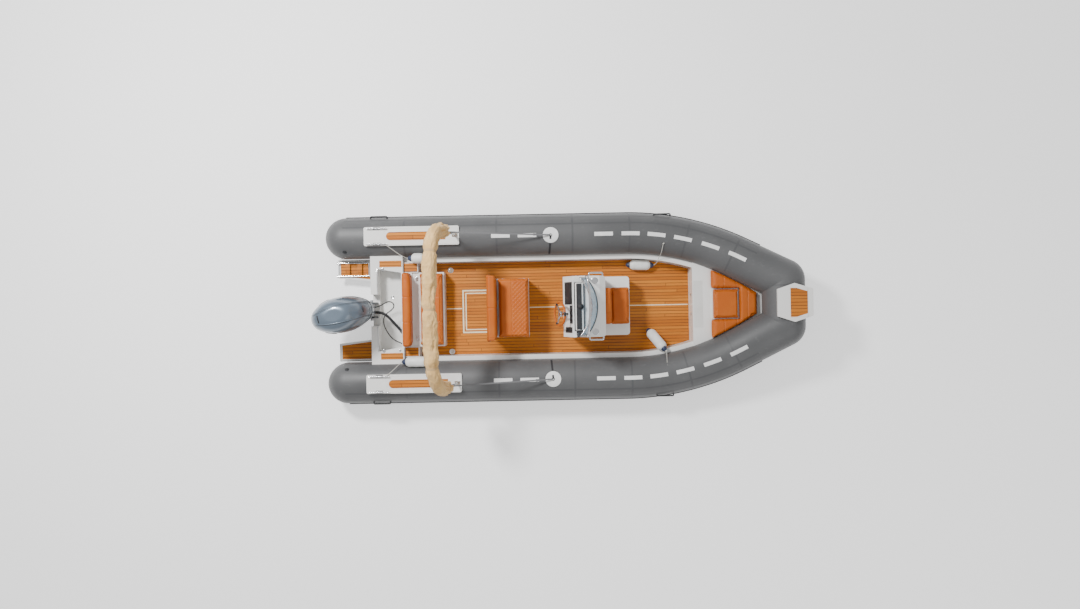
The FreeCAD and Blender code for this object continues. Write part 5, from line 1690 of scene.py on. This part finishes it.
@dataclass
class FenderLines:
    """Short lines that hold the fenders, with their knots and the dark ends of the fenders."""

    fenders: tuple[tuple[Point, Point], ...] = (
        ((-1.640, 0.740, 0.5225), (-1.850, 0.740, 0.5225)),
        ((-1.630, -0.750, 0.5375), (-1.960, -0.750, 0.5375)),
        ((1.330, 0.603, 0.1755), (1.655, 0.592, 0.1755)),
        ((1.610, -0.3845, 0.180), (1.790, -0.6345, 0.440)),
    )
    lines: tuple[tuple[Point, ...], ...] = (
        ((-1.893, 0.742, 0.530), (-1.96, 0.765, 0.566), (-2.05, 0.83, 0.612), (-2.175, 0.925, 0.653)),
        ((-2.003, -0.752, 0.545), (-2.05, -0.79, 0.580), (-2.11, -0.855, 0.620), (-2.195, -0.925, 0.653)),
        ((1.697, 0.592, 0.182), (1.712, 0.600, 0.262), (1.722, 0.622, 0.350), (1.735, 0.655, 0.368),
         (1.748, 0.700, 0.402), (1.760, 0.728, 0.464), (1.765, 0.768, 0.540), (1.772, 0.832, 0.600),
         (1.780, 0.876, 0.619)),
        ((1.812, -0.668, 0.470), (1.815, -0.715, 0.515), (1.812, -0.79, 0.560), (1.806, -0.868, 0.593)),
    )
    fender_radius: float = 0.0747

    def build(self) -> None:
        """Build the fenders, their ends and their lines."""
        self._bodies()
        for number, ((start, end), route) in enumerate(zip(self.fenders, self.lines)):
            self._ends(number, Vector(start), Vector(end))
            piece, _ = Line(f"fender_line_{number}", route, 0.0045, 10).build(Finish.ROPE)
            place(piece, Body.BOAT, "strap")
            knots = Builder()
            for spot in (route[0], route[-1]):
                knots.ball(spot, 0.0105, (1.0, 0.8, 0.9), rings=6)
                knots.ball(Vector(spot) + Vector((0.008, 0.004, 0.003)), 0.0085, (1.0, 1.0, 0.7), rings=6)
            knots.fit(f"fender_knots_{number}", Finish.ROPE)

    def _bodies(self) -> None:
        """The four inflated fenders with their moulded ribs."""
        builder = Builder()
        radius = self.fender_radius
        for start, end in self.fenders:
            start, end = Vector(start), Vector(end)
            length = (end - start).length
            cap = [(radius - radius * math.cos(turn), radius * math.sin(turn))
                   for turn in steps(0.12, math.pi / 2, 16)]
            ribs = [(radius + 0.012 * number, radius - 0.0016 * (number % 2)) for number in range(1, 5)]
            half = cap + ribs
            profile = half + [(length - along, wide) for along, wide in reversed(half)]
            builder.lathe(start, (end - start).normalized(), profile, 56)
        builder.fit("fender_bodies", Finish.FENDER, replaced="fenders")

    def _ends(self, number: int, start: Vector, end: Vector) -> None:
        """Dark ends and moulded rings of one fender."""
        axis = (end - start).normalized()
        builder = Builder()
        for spot, way in ((start, -axis), (end, axis)):
            builder.lathe(spot - way * 0.018, way, FENDER_END, 28)
        builder.fit(f"fender_ends_{number}", Finish.FENDER_END)


# Cockpit floor

DECK_CAP = ((0, 0.042), (0.0035, 0.042), (0.006, 0.038), (0.0062, 0.029), (0.0052, 0.028), (0.0052, 0.004))
GAUGE_RING = ((0, 0.0335), (0.007, 0.0335), (0.009, 0.0315), (0.009, 0.0285), (0.0055, 0.0275),
              (0.0055, 0.002))
CUP_HOLDER = ((0, 0.046), (0.003, 0.0465), (0.0042, 0.044), (0.0042, 0.0385), (0.0016, 0.037),
              (0.0016, 0.002))
HUB = ((0, 0.0405), (0.028, 0.0405), (0.034, 0.036), (0.037, 0.024), (0.038, 0.004))
RAIL_FOOT = ((0, 0.030), (0.003, 0.030), (0.005, 0.027), (0.016, 0.0165))
HOOD_RING = ((0, 0.027), (0.002, 0.027), (0.003, 0.024), (0.001, 0.023), (0.001, 0.002))


@dataclass
class FloorDress:
    """Centre line, hatch borders, corner fillets and caps on the teak floor."""

    deck: float = 0.100
    line_half: float = 0.0065
    line_spans: tuple[tuple[float, float], ...] = ((-1.395, -1.162), (-0.158, 0.398), (1.302, 2.206))
    hatch: tuple[float, float, float, float] = (-1.160, -0.772, -0.370, 0.280)
    caps: tuple[tuple[float, float], ...] = ((-1.325, 0.575), (-1.325, -0.640))
    console: tuple[float, float, float] = (0.3985, 1.3015, 0.4265)
    console_round: float = 0.0465

    def build(self) -> None:
        """Build the floor's trim."""
        fixed = Builder()
        for start, end in self.line_spans:
            fixed.box((start, -self.line_half, self.deck - 0.001), (end, self.line_half, self.deck + 0.0006))
        fixed.fit("floor_centre_line", Finish.CREAM, smooth=False)
        self._console_corners()
        lid = Builder()
        for inset, wide in ((0.003, 0.021), (0.046, 0.016)):
            self._frame(lid, inset, wide)
        lid.fit("hatch_borders", Finish.CREAM, smooth=False, body=Body.FLOOR_LID)
        for number, (x, y) in enumerate(self.caps):
            cap = Builder()
            cap.lathe((x, y, self.deck - 0.001), UP, DECK_CAP, 40)
            for turn in (0.6, 2.7):
                pin = Vector((x + 0.016 * math.cos(turn), y + 0.016 * math.sin(turn), self.deck + 0.004))
                cap.cylinder(pin, pin + UP * 0.0018, 0.003, slot=1)
            cap.fit(f"deck_cap_{number}", Finish.STAINLESS, Finish.BLACK)

    def _console_corners(self) -> None:
        """Teak that fills the rounded corners of the console's foot."""
        made = Builder()
        aft, forward, half = self.console
        low, radius = self.deck - 0.009, self.console_round
        for x, ahead in ((aft, -1), (forward, 1)):
            for side, _ in SIDES:
                middle = Vector((x - ahead * radius, side * (half - radius), low))
                arc = [middle + Vector((ahead * math.sin(turn), side * math.cos(turn), 0)) * radius
                       for turn in steps(0, math.pi / 2, 10)]
                made.prism([Vector((x, side * half, low)), *arc], (0, 0, 0.0088))
        made.fit("console_corner_teak", Finish.TEAK, smooth=False)

    def _frame(self, builder: Builder, inset: float, wide: float) -> None:
        """Border strip inside three of the hatch's edges."""
        x0, x1, y0, y1 = self.hatch
        x0, x1, y0, y1 = x0 + inset, x1 - 0.003, y0 + inset, y1 - inset
        low, high = self.deck - 0.001, self.deck + 0.0007
        builder.box((x0, y0, low), (x0 + wide, y1, high))
        builder.box((x0 + wide, y0, low), (x1, y0 + wide, high))
        builder.box((x0 + wide, y1 - wide, low), (x1, y1, high))


# Console

@dataclass
class ConsoleDress:
    """Instruments, screen frame, rails and fittings of the helm console."""

    top: float = 0.960
    dash_low: tuple[float, float] = (0.330, 0.690)
    dash_high: tuple[float, float] = (0.455, 0.960)
    screen_centre: float = 0.205
    screen_radius: float = 0.595
    screen_rake: float = 0.110
    screen_height: float = 0.340
    compass: tuple[float, float] = (0.560, 0.0)
    wheel_y: float = -0.100
    wheel_reach: float = 0.130
    wheel_rim: float = 0.161

    def build(self) -> None:
        """Build all of it."""
        self._dash()
        self._binnacle()
        self._screen_frame()
        self._top_fittings()
        self._wheel()
        self._throttle()
        self._front_and_sides()

    def _on_dash(self, y: float, share: float, lift: float) -> Vector:
        """Point over the slanted dash face."""
        (x0, z0), (x1, z1) = self.dash_low, self.dash_high
        return Vector((x0 + (x1 - x0) * share, y, z0 + (z1 - z0) * share)) + self._dash_out() * lift

    def _dash_out(self) -> Vector:
        """Direction from the dash to the helmsman."""
        (x0, z0), (x1, z1) = self.dash_low, self.dash_high
        return Vector((z0 - z1, 0, x1 - x0)).normalized()

    def _dash_aim(self, degrees: float) -> Vector:
        """Direction in the dash's plane, counted from port upwards."""
        out, angle = self._dash_out(), math.radians(degrees)
        return ACROSS * math.cos(angle) + Vector((out.z, 0, -out.x)) * math.sin(angle)

    def _panel(self, builder: Builder, y0: float, y1: float, s0: float, s1: float, thick: float,
               slot: int = 0) -> None:
        """Flat plate on the dash, between two places across and two shares of its height."""
        low = -0.0006
        corners = [self._on_dash(y, share, low) for y, share in ((y0, s0), (y1, s0), (y1, s1), (y0, s1))]
        builder.prism(corners, self._dash_out() * (thick - low), slot)

    def _dash(self) -> None:
        """Fascia with a blank chart display, gauges and push buttons."""
        made = Builder()
        out = self._dash_out()
        self._panel(made, 0.030, 0.345, 0.20, 0.94, 0.004)
        self._panel(made, 0.055, 0.320, 0.36, 0.90, 0.012)
        self._panel(made, 0.068, 0.307, 0.41, 0.87, 0.0132, 1)
        self._panel(made, -0.235, 0.018, 0.70, 0.97, 0.004)
        self._panel(made, -0.365, -0.285, 0.25, 0.92, 0.004)
        for y in (-0.172, -0.098, -0.024):
            spot = self._on_dash(y, 0.84, 0.002)
            made.lathe(spot, out, GAUGE_RING, 36, 2)
            self._gauge_face(made, spot + out * 0.0058, out)
        for y in steps(0.072, 0.302, 5):
            self._button(made, y, 0.28)
        for share in (0.36, 0.50, 0.64):
            self._button(made, -0.325, share)
        key = self._on_dash(-0.325, 0.86, 0.0)
        made.lathe(key, out, ((0, 0.014), (0.007, 0.014), (0.009, 0.011), (0.009, 0.002)), 24, 2)
        made.lathe(key + out * 0.008, out, ((0, 0.0035), (0.02, 0.0035), (0.021, 0.002)), 12, 2)
        made.fit("dash_instruments", Finish.BLACK, Finish.GAUGE_GLASS, Finish.STAINLESS, Finish.WHITE_MARK)

    def _gauge_face(self, made: Builder, spot: Vector, out: Vector) -> None:
        """Ticks and a pointer on a dark dial."""
        for number in range(11):
            aim = self._dash_aim(210 - 24 * number)
            made.cylinder(spot + aim * 0.019, spot + aim * 0.0245, 0.0006, sides=6, slot=3)
        aim = self._dash_aim(168)
        made.cylinder(spot - aim * 0.004, spot + aim * 0.018, 0.0011, 0.0005, 8, 3)
        made.cylinder(spot - out * 0.001, spot + out * 0.0012, 0.0032, sides=16, slot=0)

    def _button(self, made: Builder, y: float, share: float) -> None:
        """One round push button in a steel ring."""
        spot, out = self._on_dash(y, share, 0.0035), self._dash_out()
        made.lathe(spot, out, ((0, 0.0115), (0.003, 0.0115), (0.0045, 0.010), (0.0045, 0.0085)), 24, 2)
        made.lathe(spot, out, ((0.002, 0.0087), (0.006, 0.0080), (0.0068, 0.005), (0.0069, 0.001)), 20)

    def _binnacle(self) -> None:
        """Trim of the instrument hood and the compass on it."""
        made = Builder()
        made.box((0.474, -0.338, 0.9594), (0.616, 0.338, 0.9640))
        made.box((0.503, -0.318, 1.018), (0.574, 0.318, 1.0232), 3)
        for y in (-0.26, -0.17, 0.13, 0.22):
            made.lathe((0.538, y, 1.0225), UP, HOOD_RING, 28, 2)
        x, y = self.compass
        made.lathe((x, y, 1.012), UP, ((0, 0.044), (0.010, 0.044), (0.016, 0.040)), 40)
        made.ball((x, y, 1.026), 0.034, (1, 1, 0.8), 1, 14)
        made.lathe((x, y, 1.027), UP, ((0, 0.0395), (0.003, 0.0395), (0.005, 0.037)), 40, 2)
        made.fit("binnacle_trim", Finish.RUBBER, Finish.GAUGE_GLASS, Finish.STAINLESS, Finish.BLACK,
                 slot=Finish.BLACK.slot)

    def _screen_point(self, turn: float, rise: float, lift: float = 0.0) -> Vector:
        """Point on the windscreen: angle about its axis and share of its height."""
        reach = self.screen_radius + lift
        return Vector((self.screen_centre + reach * math.cos(turn) - self.screen_rake * rise,
                       reach * math.sin(turn), self.top + self.screen_height * rise))

    def _screen_frame(self) -> None:
        """Stainless edge round the screen, its foot strip, and the hoop rail behind it."""
        half = math.radians(41.4)
        lift = -0.004
        made = Builder()
        route = [self._screen_point(-half, share, lift) for share in steps(0.0, 0.93, 10)]
        route += [self._screen_point(angle, 1.0, lift) for angle in steps(-half * 0.955, half * 0.955, 40)]
        route += [self._screen_point(half, share, lift) for share in steps(0.93, 0.0, 10)]
        made.tube(smooth_path(route, 2), 0.0085, 14)
        rail = [(0.655, -0.404, 0.962), (0.642, -0.412, 1.10), (0.634, -0.410, 1.245), (0.636, -0.385, 1.325),
                (0.650, -0.320, 1.352), (0.664, -0.18, 1.360), (0.668, 0.0, 1.362)]
        mirrored = [(x, -y, z) for x, y, z in reversed(rail[:-1])]
        made.tube(smooth_path(rail + mirrored, 8), 0.0125, 18)
        for side, _ in SIDES:
            made.lathe((0.655, side * 0.404, 0.9595), UP, RAIL_FOOT, 28)
        for y in (-0.12, 0.12):
            made.cylinder((0.664, y, 1.348), (0.688, y, 1.300), 0.006)
        made.fit("screen_frame", Finish.STAINLESS)
        foot = Builder()
        route = [self._screen_point(angle, 0.012, lift) for angle in steps(-half, half, 44)]
        foot.tube(route, 0.0095, 10)
        foot.fit("screen_gasket", Finish.RUBBER)

    def _top_fittings(self) -> None:
        """Cup holders, a non-slip strip and a black switch panel on the console top."""
        for number, y in enumerate((0.355, -0.355)):
            cup = Builder()
            cup.lathe((0.767, y, self.top - 0.0006), UP, CUP_HOLDER, 40)
            cup.fit(f"cup_holder_{number}", Finish.STAINLESS)
        strip = Builder()
        strip.box((0.612, -0.415, self.top - 0.001), (0.640, 0.415, self.top + 0.0012))
        strip.box((0.462, 0.350, self.top - 0.001), (0.606, 0.412, self.top + 0.006), 1)
        strip.fit("console_top_trim", Finish.NONSLIP, Finish.BLACK, round_edges=0.0008)

    def _wheel(self) -> None:
        """Steel spokes, hub cap and padded grips of the wheel."""
        out = self._dash_out()
        centre = self._on_dash(self.wheel_y, 0.5, self.wheel_reach)
        made = Builder()
        made.lathe(centre - out * 0.024, out, HUB, 36)
        for degrees in (90, 210, 330):
            along = self._dash_aim(degrees)
            side = out.cross(along).normalized() * 0.0105
            start, end = centre + along * 0.034 + out * 0.002, centre + along * (self.wheel_rim - 0.011)
            low, high = out * 0.0065, out * 0.0075
            made.prism([start - side - low, start + side - low, start + side + high, start - side + high],
                       end - start)
        made.fit("wheel_spokes", Finish.STAINLESS, body=Body.WHEEL, round_edges=0.002)
        grip = Builder()
        for first in (100, 220, 340):
            grip.tube([centre + self._dash_aim(degrees) * self.wheel_rim
                       for degrees in steps(first, first + 100, 30)], 0.0152, 18)
        grip.fit("wheel_grips", Finish.UPHOLSTERY, body=Body.WHEEL)

    def _throttle(self) -> None:
        """Chrome trim of the throttle's lever and box."""
        made = Builder()
        made.lathe((0.545, -0.3955, 1.020), -ACROSS,
                   ((0, 0.024), (0.004, 0.024), (0.0065, 0.020), (0.007, 0.006)), 32)
        made.cylinder((0.5424, -0.412, 1.022), (0.5166, -0.412, 1.132), 0.0102, 0.0098, 20)
        made.lathe((0.515, -0.3725, 1.145), ACROSS,
                   ((0, 0.0168), (0.003, 0.0168), (0.005, 0.012), (0.0055, 0.004)), 28)
        made.fit("throttle_trim", Finish.STAINLESS)

    def _front_and_sides(self) -> None:
        """Locker door with its hinges and knob on the port side, vents on the other."""
        made = Builder()
        y = 0.425
        made.box((0.52, y - 0.001, 0.30), (0.82, y + 0.006, 0.78))
        made.box((0.545, y + 0.005, 0.325), (0.795, y + 0.0085, 0.755))
        for z in (0.36, 0.70):
            made.box((0.506, y - 0.001, z), (0.530, y + 0.010, z + 0.05), 1)
        made.lathe((0.775, y + 0.008, 0.54), ACROSS,
                   ((0, 0.016), (0.004, 0.016), (0.006, 0.012), (0.006, 0.002)), 28, 1)
        for z in steps(0.24, 0.176, 4):
            made.box((0.62, -y - 0.004, z - 0.004), (0.80, -y + 0.001, z + 0.004), 2)
        made.fit("console_door", Finish.GELCOAT, Finish.STAINLESS, Finish.BLACK, round_edges=0.0015)


# Stern and engine

DRAIN = ((0, 0.024), (0.003, 0.024), (0.004, 0.021), (0.0015, 0.017), (0.0015, 0.002))
LATCH = ((0, 0.026), (0.003, 0.026), (0.005, 0.022), (0.005, 0.016), (0.002, 0.015), (0.002, 0.002))
VALVE = ((0, 0.031), (0.0025, 0.031), (0.004, 0.028), (0.0045, 0.021), (0.0075, 0.019), (0.009, 0.016),
         (0.009, 0.003))


@dataclass
class SternDress:
    """Trim of the stern moulding, platforms, ladder and cleats."""

    top: float = 0.450
    platform_top: float = 0.200
    cleat_x: float = -2.315
    filler_caps: tuple[Point, ...] = ((-2.275, 0.592, 0.024), (-2.275, -0.592, 0.024),
                                      (-2.040, -0.592, 0.016))

    def build(self) -> None:
        """Build all of it."""
        self._transom_cap()
        self._platform_trim()
        self._ladder_treads()
        self._cleat_feet()
        self._well_fittings()

    def _transom_cap(self) -> None:
        """Steel band along the transom's top and a lip on each side of the well."""
        made = Builder()
        for side, _ in SIDES:
            low, high = sorted((side * 0.236, side * 0.600))
            made.box((-2.362, low, self.top - 0.001), (-2.352, high, self.top + 0.0035))
            y = side * 0.640
            made.box((-2.0, y - 0.004, self.top + 0.0055), (-1.990, y + 0.004, self.top + 0.0085))
        made.fit("transom_band", Finish.STAINLESS, round_edges=0.001)

    def _platform_trim(self) -> None:
        """Rubber edge and drain slots on the two swim platforms."""
        for side, label in SIDES:
            made = Builder()
            edge = ((-2.966, side * 0.487), (-2.966, side * 0.742), (-2.460, side * 0.742))
            made.tube([Vector((x, y, self.platform_top + 0.0265)) for x, y in edge], 0.0045, 10)
            y = side * 0.7455
            for x in steps(-2.90, -2.525, 3):
                made.box((x, y - 0.002, 0.180), (x + 0.05, y + 0.002, 0.190))
            made.fit(f"platform_edge_{label}", Finish.RUBBER)

    def _ladder_treads(self) -> None:
        """Teak boards on the treads and the pivot caps of the folding ladder."""
        made = Builder()
        z = 0.2205
        for x0, x1 in ((-2.866, -2.796), (-2.688, -2.618)):
            made.box((x0 + 0.001, 0.5235, z + 0.0084), (x1 - 0.001, 0.6915, z + 0.0142))
        made.fit("ladder_boards", Finish.TEAK, round_edges=0.001, body=Body.LADDER)
        caps = Builder()
        for y in (0.51, 0.705):
            caps.ball((-2.506, y, z), 0.0128)
        caps.fit("ladder_caps", Finish.STAINLESS, body=Body.LADDER)

    def _cleat_feet(self) -> None:
        """Base pads under the two stern cleats."""
        for side, label in SIDES:
            made = Builder()
            x, middle = self.cleat_x, side * PATH.at(PATH.along_x(self.cleat_x))[0].y
            for y in (middle + 0.112, middle - 0.112):
                made.box((x - 0.050, y - 0.019, 0.6285), (x + 0.050, y + 0.019, 0.6345))
            made.fit(f"cleat_pads_{label}", Finish.BLACK, round_edges=0.0015)

    def _well_fittings(self) -> None:
        """Drains in the motor well and filler caps on the land beside it."""
        made = Builder()
        for y in (-0.187, 0.187):
            made.lathe((-2.18, y, 0.1995), UP, DRAIN, 30)
        for x, y, radius in self.filler_caps:
            profile = ((0, radius), (0.004, radius), (0.006, radius - 0.003), (0.006, radius - 0.008),
                       (0.0045, radius - 0.009), (0.0045, 0.002))
            made.lathe((x, y, self.top - 0.001), UP, profile, 36)
            half = radius * 0.5
            made.box((x - half, y - 0.0025, self.top + 0.003), (x + half, y + 0.0025, self.top + 0.0065))
        made.fit("filler_and_drains", Finish.STAINLESS)


@dataclass
class EngineDress:
    """Crease lines with painted shade lines beside them, gasket band, intake and latch of the outboard."""

    tilt_x: float = -2.560
    lean: float = 13.0
    skin_lift: float = 0.0004

    def build(self, cowl: bpy.types.Object) -> None:
        """Build the trim on the cowl's own surface.

        Args:
            cowl: The engine's cover.
        """
        mesh = cowl.data
        points = [cowl.matrix_world @ vertex.co for vertex in mesh.vertices]
        faces = [tuple(polygon.vertices) for polygon in mesh.polygons]
        self.tree = BVHTree.FromPolygons(points, faces)
        self.low = Vector([min(point[axis] for point in points) for axis in range(3)])
        self.high = Vector([max(point[axis] for point in points) for axis in range(3)])
        self.middle = (self.low + self.high) / 2
        self._creases()
        self._band()
        self._intake()
        self._latch()

    def _hit(self, place_from: Point, aim: Point) -> tuple[Vector, Vector] | None:
        """Point and normal where a ray, given along the engine's own heading, meets the cowl."""
        heading = Matrix.Rotation(math.radians(self.lean), 3, "Z")
        pivot = Vector((self.tilt_x, 0, 0))
        start = heading @ (Vector(place_from) - pivot) + pivot
        spot, normal = self.tree.ray_cast(start, heading @ Vector(aim))[:2]
        return None if spot is None else (spot, normal)

    def _row(self, places: Sequence[Point], aim: Point, lift: float) -> list[Vector]:
        """Points over the cowl's skin where rays from these places meet it."""
        hits = [self._hit(spot, aim) for spot in places]
        return [hit[0] + hit[1] * lift for hit in hits if hit]

    def _creases(self) -> None:
        """Two long creases over the cowl and a thin black line beside each, painted shade on the crease's
        dark side.
        """
        front, back = self.high.x - 0.035, self.low.x + 0.075
        # The black line beside each crease is painted shade, standing for the crease's shaded flank.
        for name, finish, inner, radius, sides in (("cowl_creases", Finish.ENGINE, 0.062, 0.0062, 10),
                                                   ("cowl_crease_shade_lines", Finish.BLACK, 0.073, 0.0026, 8)):
            made = Builder()
            for side, _ in SIDES:
                places = []
                for x in steps(front, back, 60):
                    share = (x - back) / (front - back)
                    bow = inner + 0.040 * math.sin(math.pi * share) + 0.020 * share
                    places.append((x, side * bow, 3.0))
                made.tube(self._row(places, (0, 0, -1), self.skin_lift), radius, sides)
            made.fit(name, finish, body=Body.ENGINE)

    def _ring(self, z: float, lift: float, count: int = 140) -> list[Vector]:
        """Places round the cowl at one height."""
        found = []
        for turn in turns(count):
            aim = Vector((math.cos(turn), math.sin(turn), 0))
            start = Vector((self.middle.x, self.middle.y, z)) + aim * 1.2
            spot, normal = self.tree.ray_cast(start, -aim)[:2]
            if spot is not None:
                found.append(spot + Vector((normal.x, normal.y, 0)).normalized() * lift)
        return found

    def _band(self) -> None:
        """Rubber gasket and dark band at the foot of the cowl."""
        made = Builder()
        made.tube(self._ring(self.low.z + 0.155, 0.0010), 0.0045, 8, closed=True)
        made.tube(self._ring(self.low.z + 0.235, 0.0002), 0.0020, 8, closed=True)
        made.fit("cowl_gasket", Finish.BLACK, body=Body.ENGINE)

    def _intake(self) -> None:
        """Slotted air intake near the cowl's after end on both flanks."""
        made = Builder()
        aft = self.middle.x - 0.245
        for side, _ in SIDES:
            for number in range(7):
                z = self.high.z - 0.205 - 0.019 * number
                places = [(x - 0.006 * number, side * 1.5, z) for x in steps(aft, aft + 0.150, 12)]
                row = self._row(places, (0, -side, 0), self.skin_lift)
                if len(row) > 2:
                    made.tube(row, 0.0042, 8)
        made.fit("cowl_intake", Finish.BLACK, body=Body.ENGINE)

    def _latch(self) -> None:
        """Latch lever at the front of the cowl and lifting grip at its back."""
        made = Builder()
        for x, width in ((self.high.x - 0.085, 0.040), (self.low.x + 0.150, 0.050)):
            row = self._row([(x, y, 3.0) for y in steps(-width, width, 10)], (0, 0, -1), 0.003)
            made.tube(row, 0.0080, 12)
        made.fit("cowl_latch", Finish.BLACK, body=Body.ENGINE)


# Bow and seats

@dataclass
class BowDress:
    """Trim on the step and the deck's front face at the bow."""

    step_x: float = 2.220
    step_top: float = 0.420
    teak_end: float = 3.7155
    teak_half: float = 0.2005
    teak_clip: tuple[float, float] = (0.155, 0.046)
    teak_low: float = 0.9515
    teak_rise: float = 0.0073

    def build(self) -> None:
        """Build all of it."""
        self._step()
        self._lid()
        self._teak_corners()

    def _teak_corners(self) -> None:
        """White corner pieces that clip the teak on the bow plate."""
        made = Builder()
        along, across = self.teak_clip
        for side, _ in SIDES:
            end, edge = self.teak_end, side * self.teak_half
            outline = ((end - along, edge), (end, edge), (end, side * (self.teak_half - across)))
            made.prism([(x, y, self.teak_low) for x, y in outline], UP * self.teak_rise)
        made.fit("bow_teak_corners", Finish.GELCOAT, smooth=False)

    def _step(self) -> None:
        """Non-slip panel on the step to the bow deck."""
        made = Builder()
        x, z = self.step_x, self.step_top
        made.box((x + 0.014, -0.34, z - 0.001), (x + 0.150, 0.34, z + 0.0009))
        made.fit("bow_step_nonslip", Finish.NONSLIP)

    def _lid(self) -> None:
        """Two lift latches on the front face of the bow deck."""
        made = Builder()
        for y in (-0.14, 0.14):
            made.lathe((self.step_x + 0.0005, y, 0.300), (-1, 0, 0), LATCH, 30)
            made.box((self.step_x - 0.006, y - 0.003, 0.286), (self.step_x - 0.002, y + 0.003, 0.314))
        made.fit("bow_latches", Finish.STAINLESS)


# Small fittings

@dataclass
class Fittings:
    """Hinges, screws, step ribs, valves and the black strips of painted ring shadow on the tubes."""

    repeats: Repeats
    ring_shadow_half: float = 0.014
    strip_x: float = -1.780
    step_frame: tuple[float, float, float, float] = (-2.215, -1.156, 0.9375, 1.1745)
    step_top: float = 0.632
    valve: tuple[float, float] = (-2.80, -0.78)

    def build(self) -> None:
        """Build all of it."""
        self._screws()
        self._step_ribs()
        self._bench_hinges()
        self._painted_ring_shadows()
        self._valves()

    def _screws(self) -> None:
        """Screw heads on the step plates and the cleats."""
        spots = []
        for side, _ in SIDES:
            spots += [(x, side * y, 0.6325) for x in (-2.46, -2.04, -1.60, -1.18) for y in (0.938, 1.174)]
            spots += [(x, side * (1.056 + shift + y), 0.6355) for x in (-2.335, -2.295)
                      for y in (-0.0065, 0.0065) for shift in (0.112, -0.112)]
        steel = self.repeats.on_points("plate_screws", [(Vector(spot), UP) for spot in spots],
                                       (0.0055, 0.0055, 0.0019), Finish.STAINLESS, 12, 6)
        place(steel, Body.BOAT, "stainless")

    def _step_ribs(self) -> None:
        """Raised rib round the teak of each step plate."""
        x0, x1, y0, y1 = self.step_frame
        low, high, wide = self.step_top - 0.0008, self.step_top + 0.0034, 0.008
        bars = ((x0, x1, y0, y0 + wide), (x0, x1, y1 - wide, y1), (x0, x0 + wide, y0 + wide, y1 - wide),
                (x1 - wide, x1, y0 + wide, y1 - wide))
        for side, label in SIDES:
            made = Builder()
            for a0, a1, b0, b1 in bars:
                near, far = sorted((side * b0, side * b1))
                made.box((a0, near, low), (a1, far, high))
            made.fit(f"step_rib_{label}", Finish.GELCOAT, smooth=False)

    def _bench_hinges(self) -> None:
        """Two lid hinges between the bench's back and its seat."""
        made = Builder()
        for y in (0.45, -0.42):
            low, high = y - 0.028, y + 0.028
            made.cylinder((self.strip_x, low, 0.3785), (self.strip_x, high, 0.3785), 0.0055)
            made.box((self.strip_x - 0.028, low, 0.376), (self.strip_x, high, 0.3795))
        made.fit("bench_hinges", Finish.STAINLESS, round_edges=0.0008, body=Body.BENCH_SEAT)

    def _painted_ring_shadows(self) -> None:
        """Black strip from each round patch over the tube's inner side to the coaming, drawn as webbing:
        painted shadow of the patch's ring.
        """
        for side, label in SIDES:
            builder = Builder()
            middle = PATH.along_x(PATCH_X)

            def point(u: float, v: float, lift: float, side: int = side) -> Vector:
                """Point on the shadow strip, which leaves the ring over the tube's skin."""
                share = -(v + 0.10) / 1.13
                lift += 0.0082 * max(0.0, 1 - share * 2.2)
                return PATH.skin(middle - 0.022 * share + u, v, lift, side)

            half = self.ring_shadow_half
            # Painted shadow: a black strip where the ring's shadow falls over the tube.
            builder.sheet(point, steps(-half, half, 3), steps(-1.23, -0.10, 44), 0.0016)
            builder.fit(f"ring_shadow_strip_{label}", Finish.RING_SHADOW)

    def _valves(self) -> None:
        """Inflation valve on each tube near the stern."""
        for side, label in SIDES:
            made = Builder()
            x, around = self.valve
            base = PATH.skin(PATH.along_x(x), around, -0.0005, side)
            out = (PATH.skin(PATH.along_x(x), around, 0.02, side) - base).normalized()
            made.lathe(base, out, VALVE, 32)
            made.fit(f"valves_{label}", Finish.BLACK)


def main() -> None:
    """Build the studio and dress the boat, class by class."""
    logging.basicConfig(level=logging.INFO, format="%(name)s %(message)s")
    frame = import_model()
    nodes = frame["nodes"]
    repeats = Repeats()
    Studio().build()
    FrameFinishes().dress(nodes)
    for dress in (Sunshade, TubeDress, EngineLines, FenderLines, FloorDress, ConsoleDress, SternDress):
        dress().build()
    EngineDress().build(nodes["cowl"])
    BowDress().build()
    Fittings(repeats).build()
    Pads(repeats).build(nodes)
    LOG.info("added triangles: %d", ADDED["triangles"])


if __name__ == "__main__":
    main()
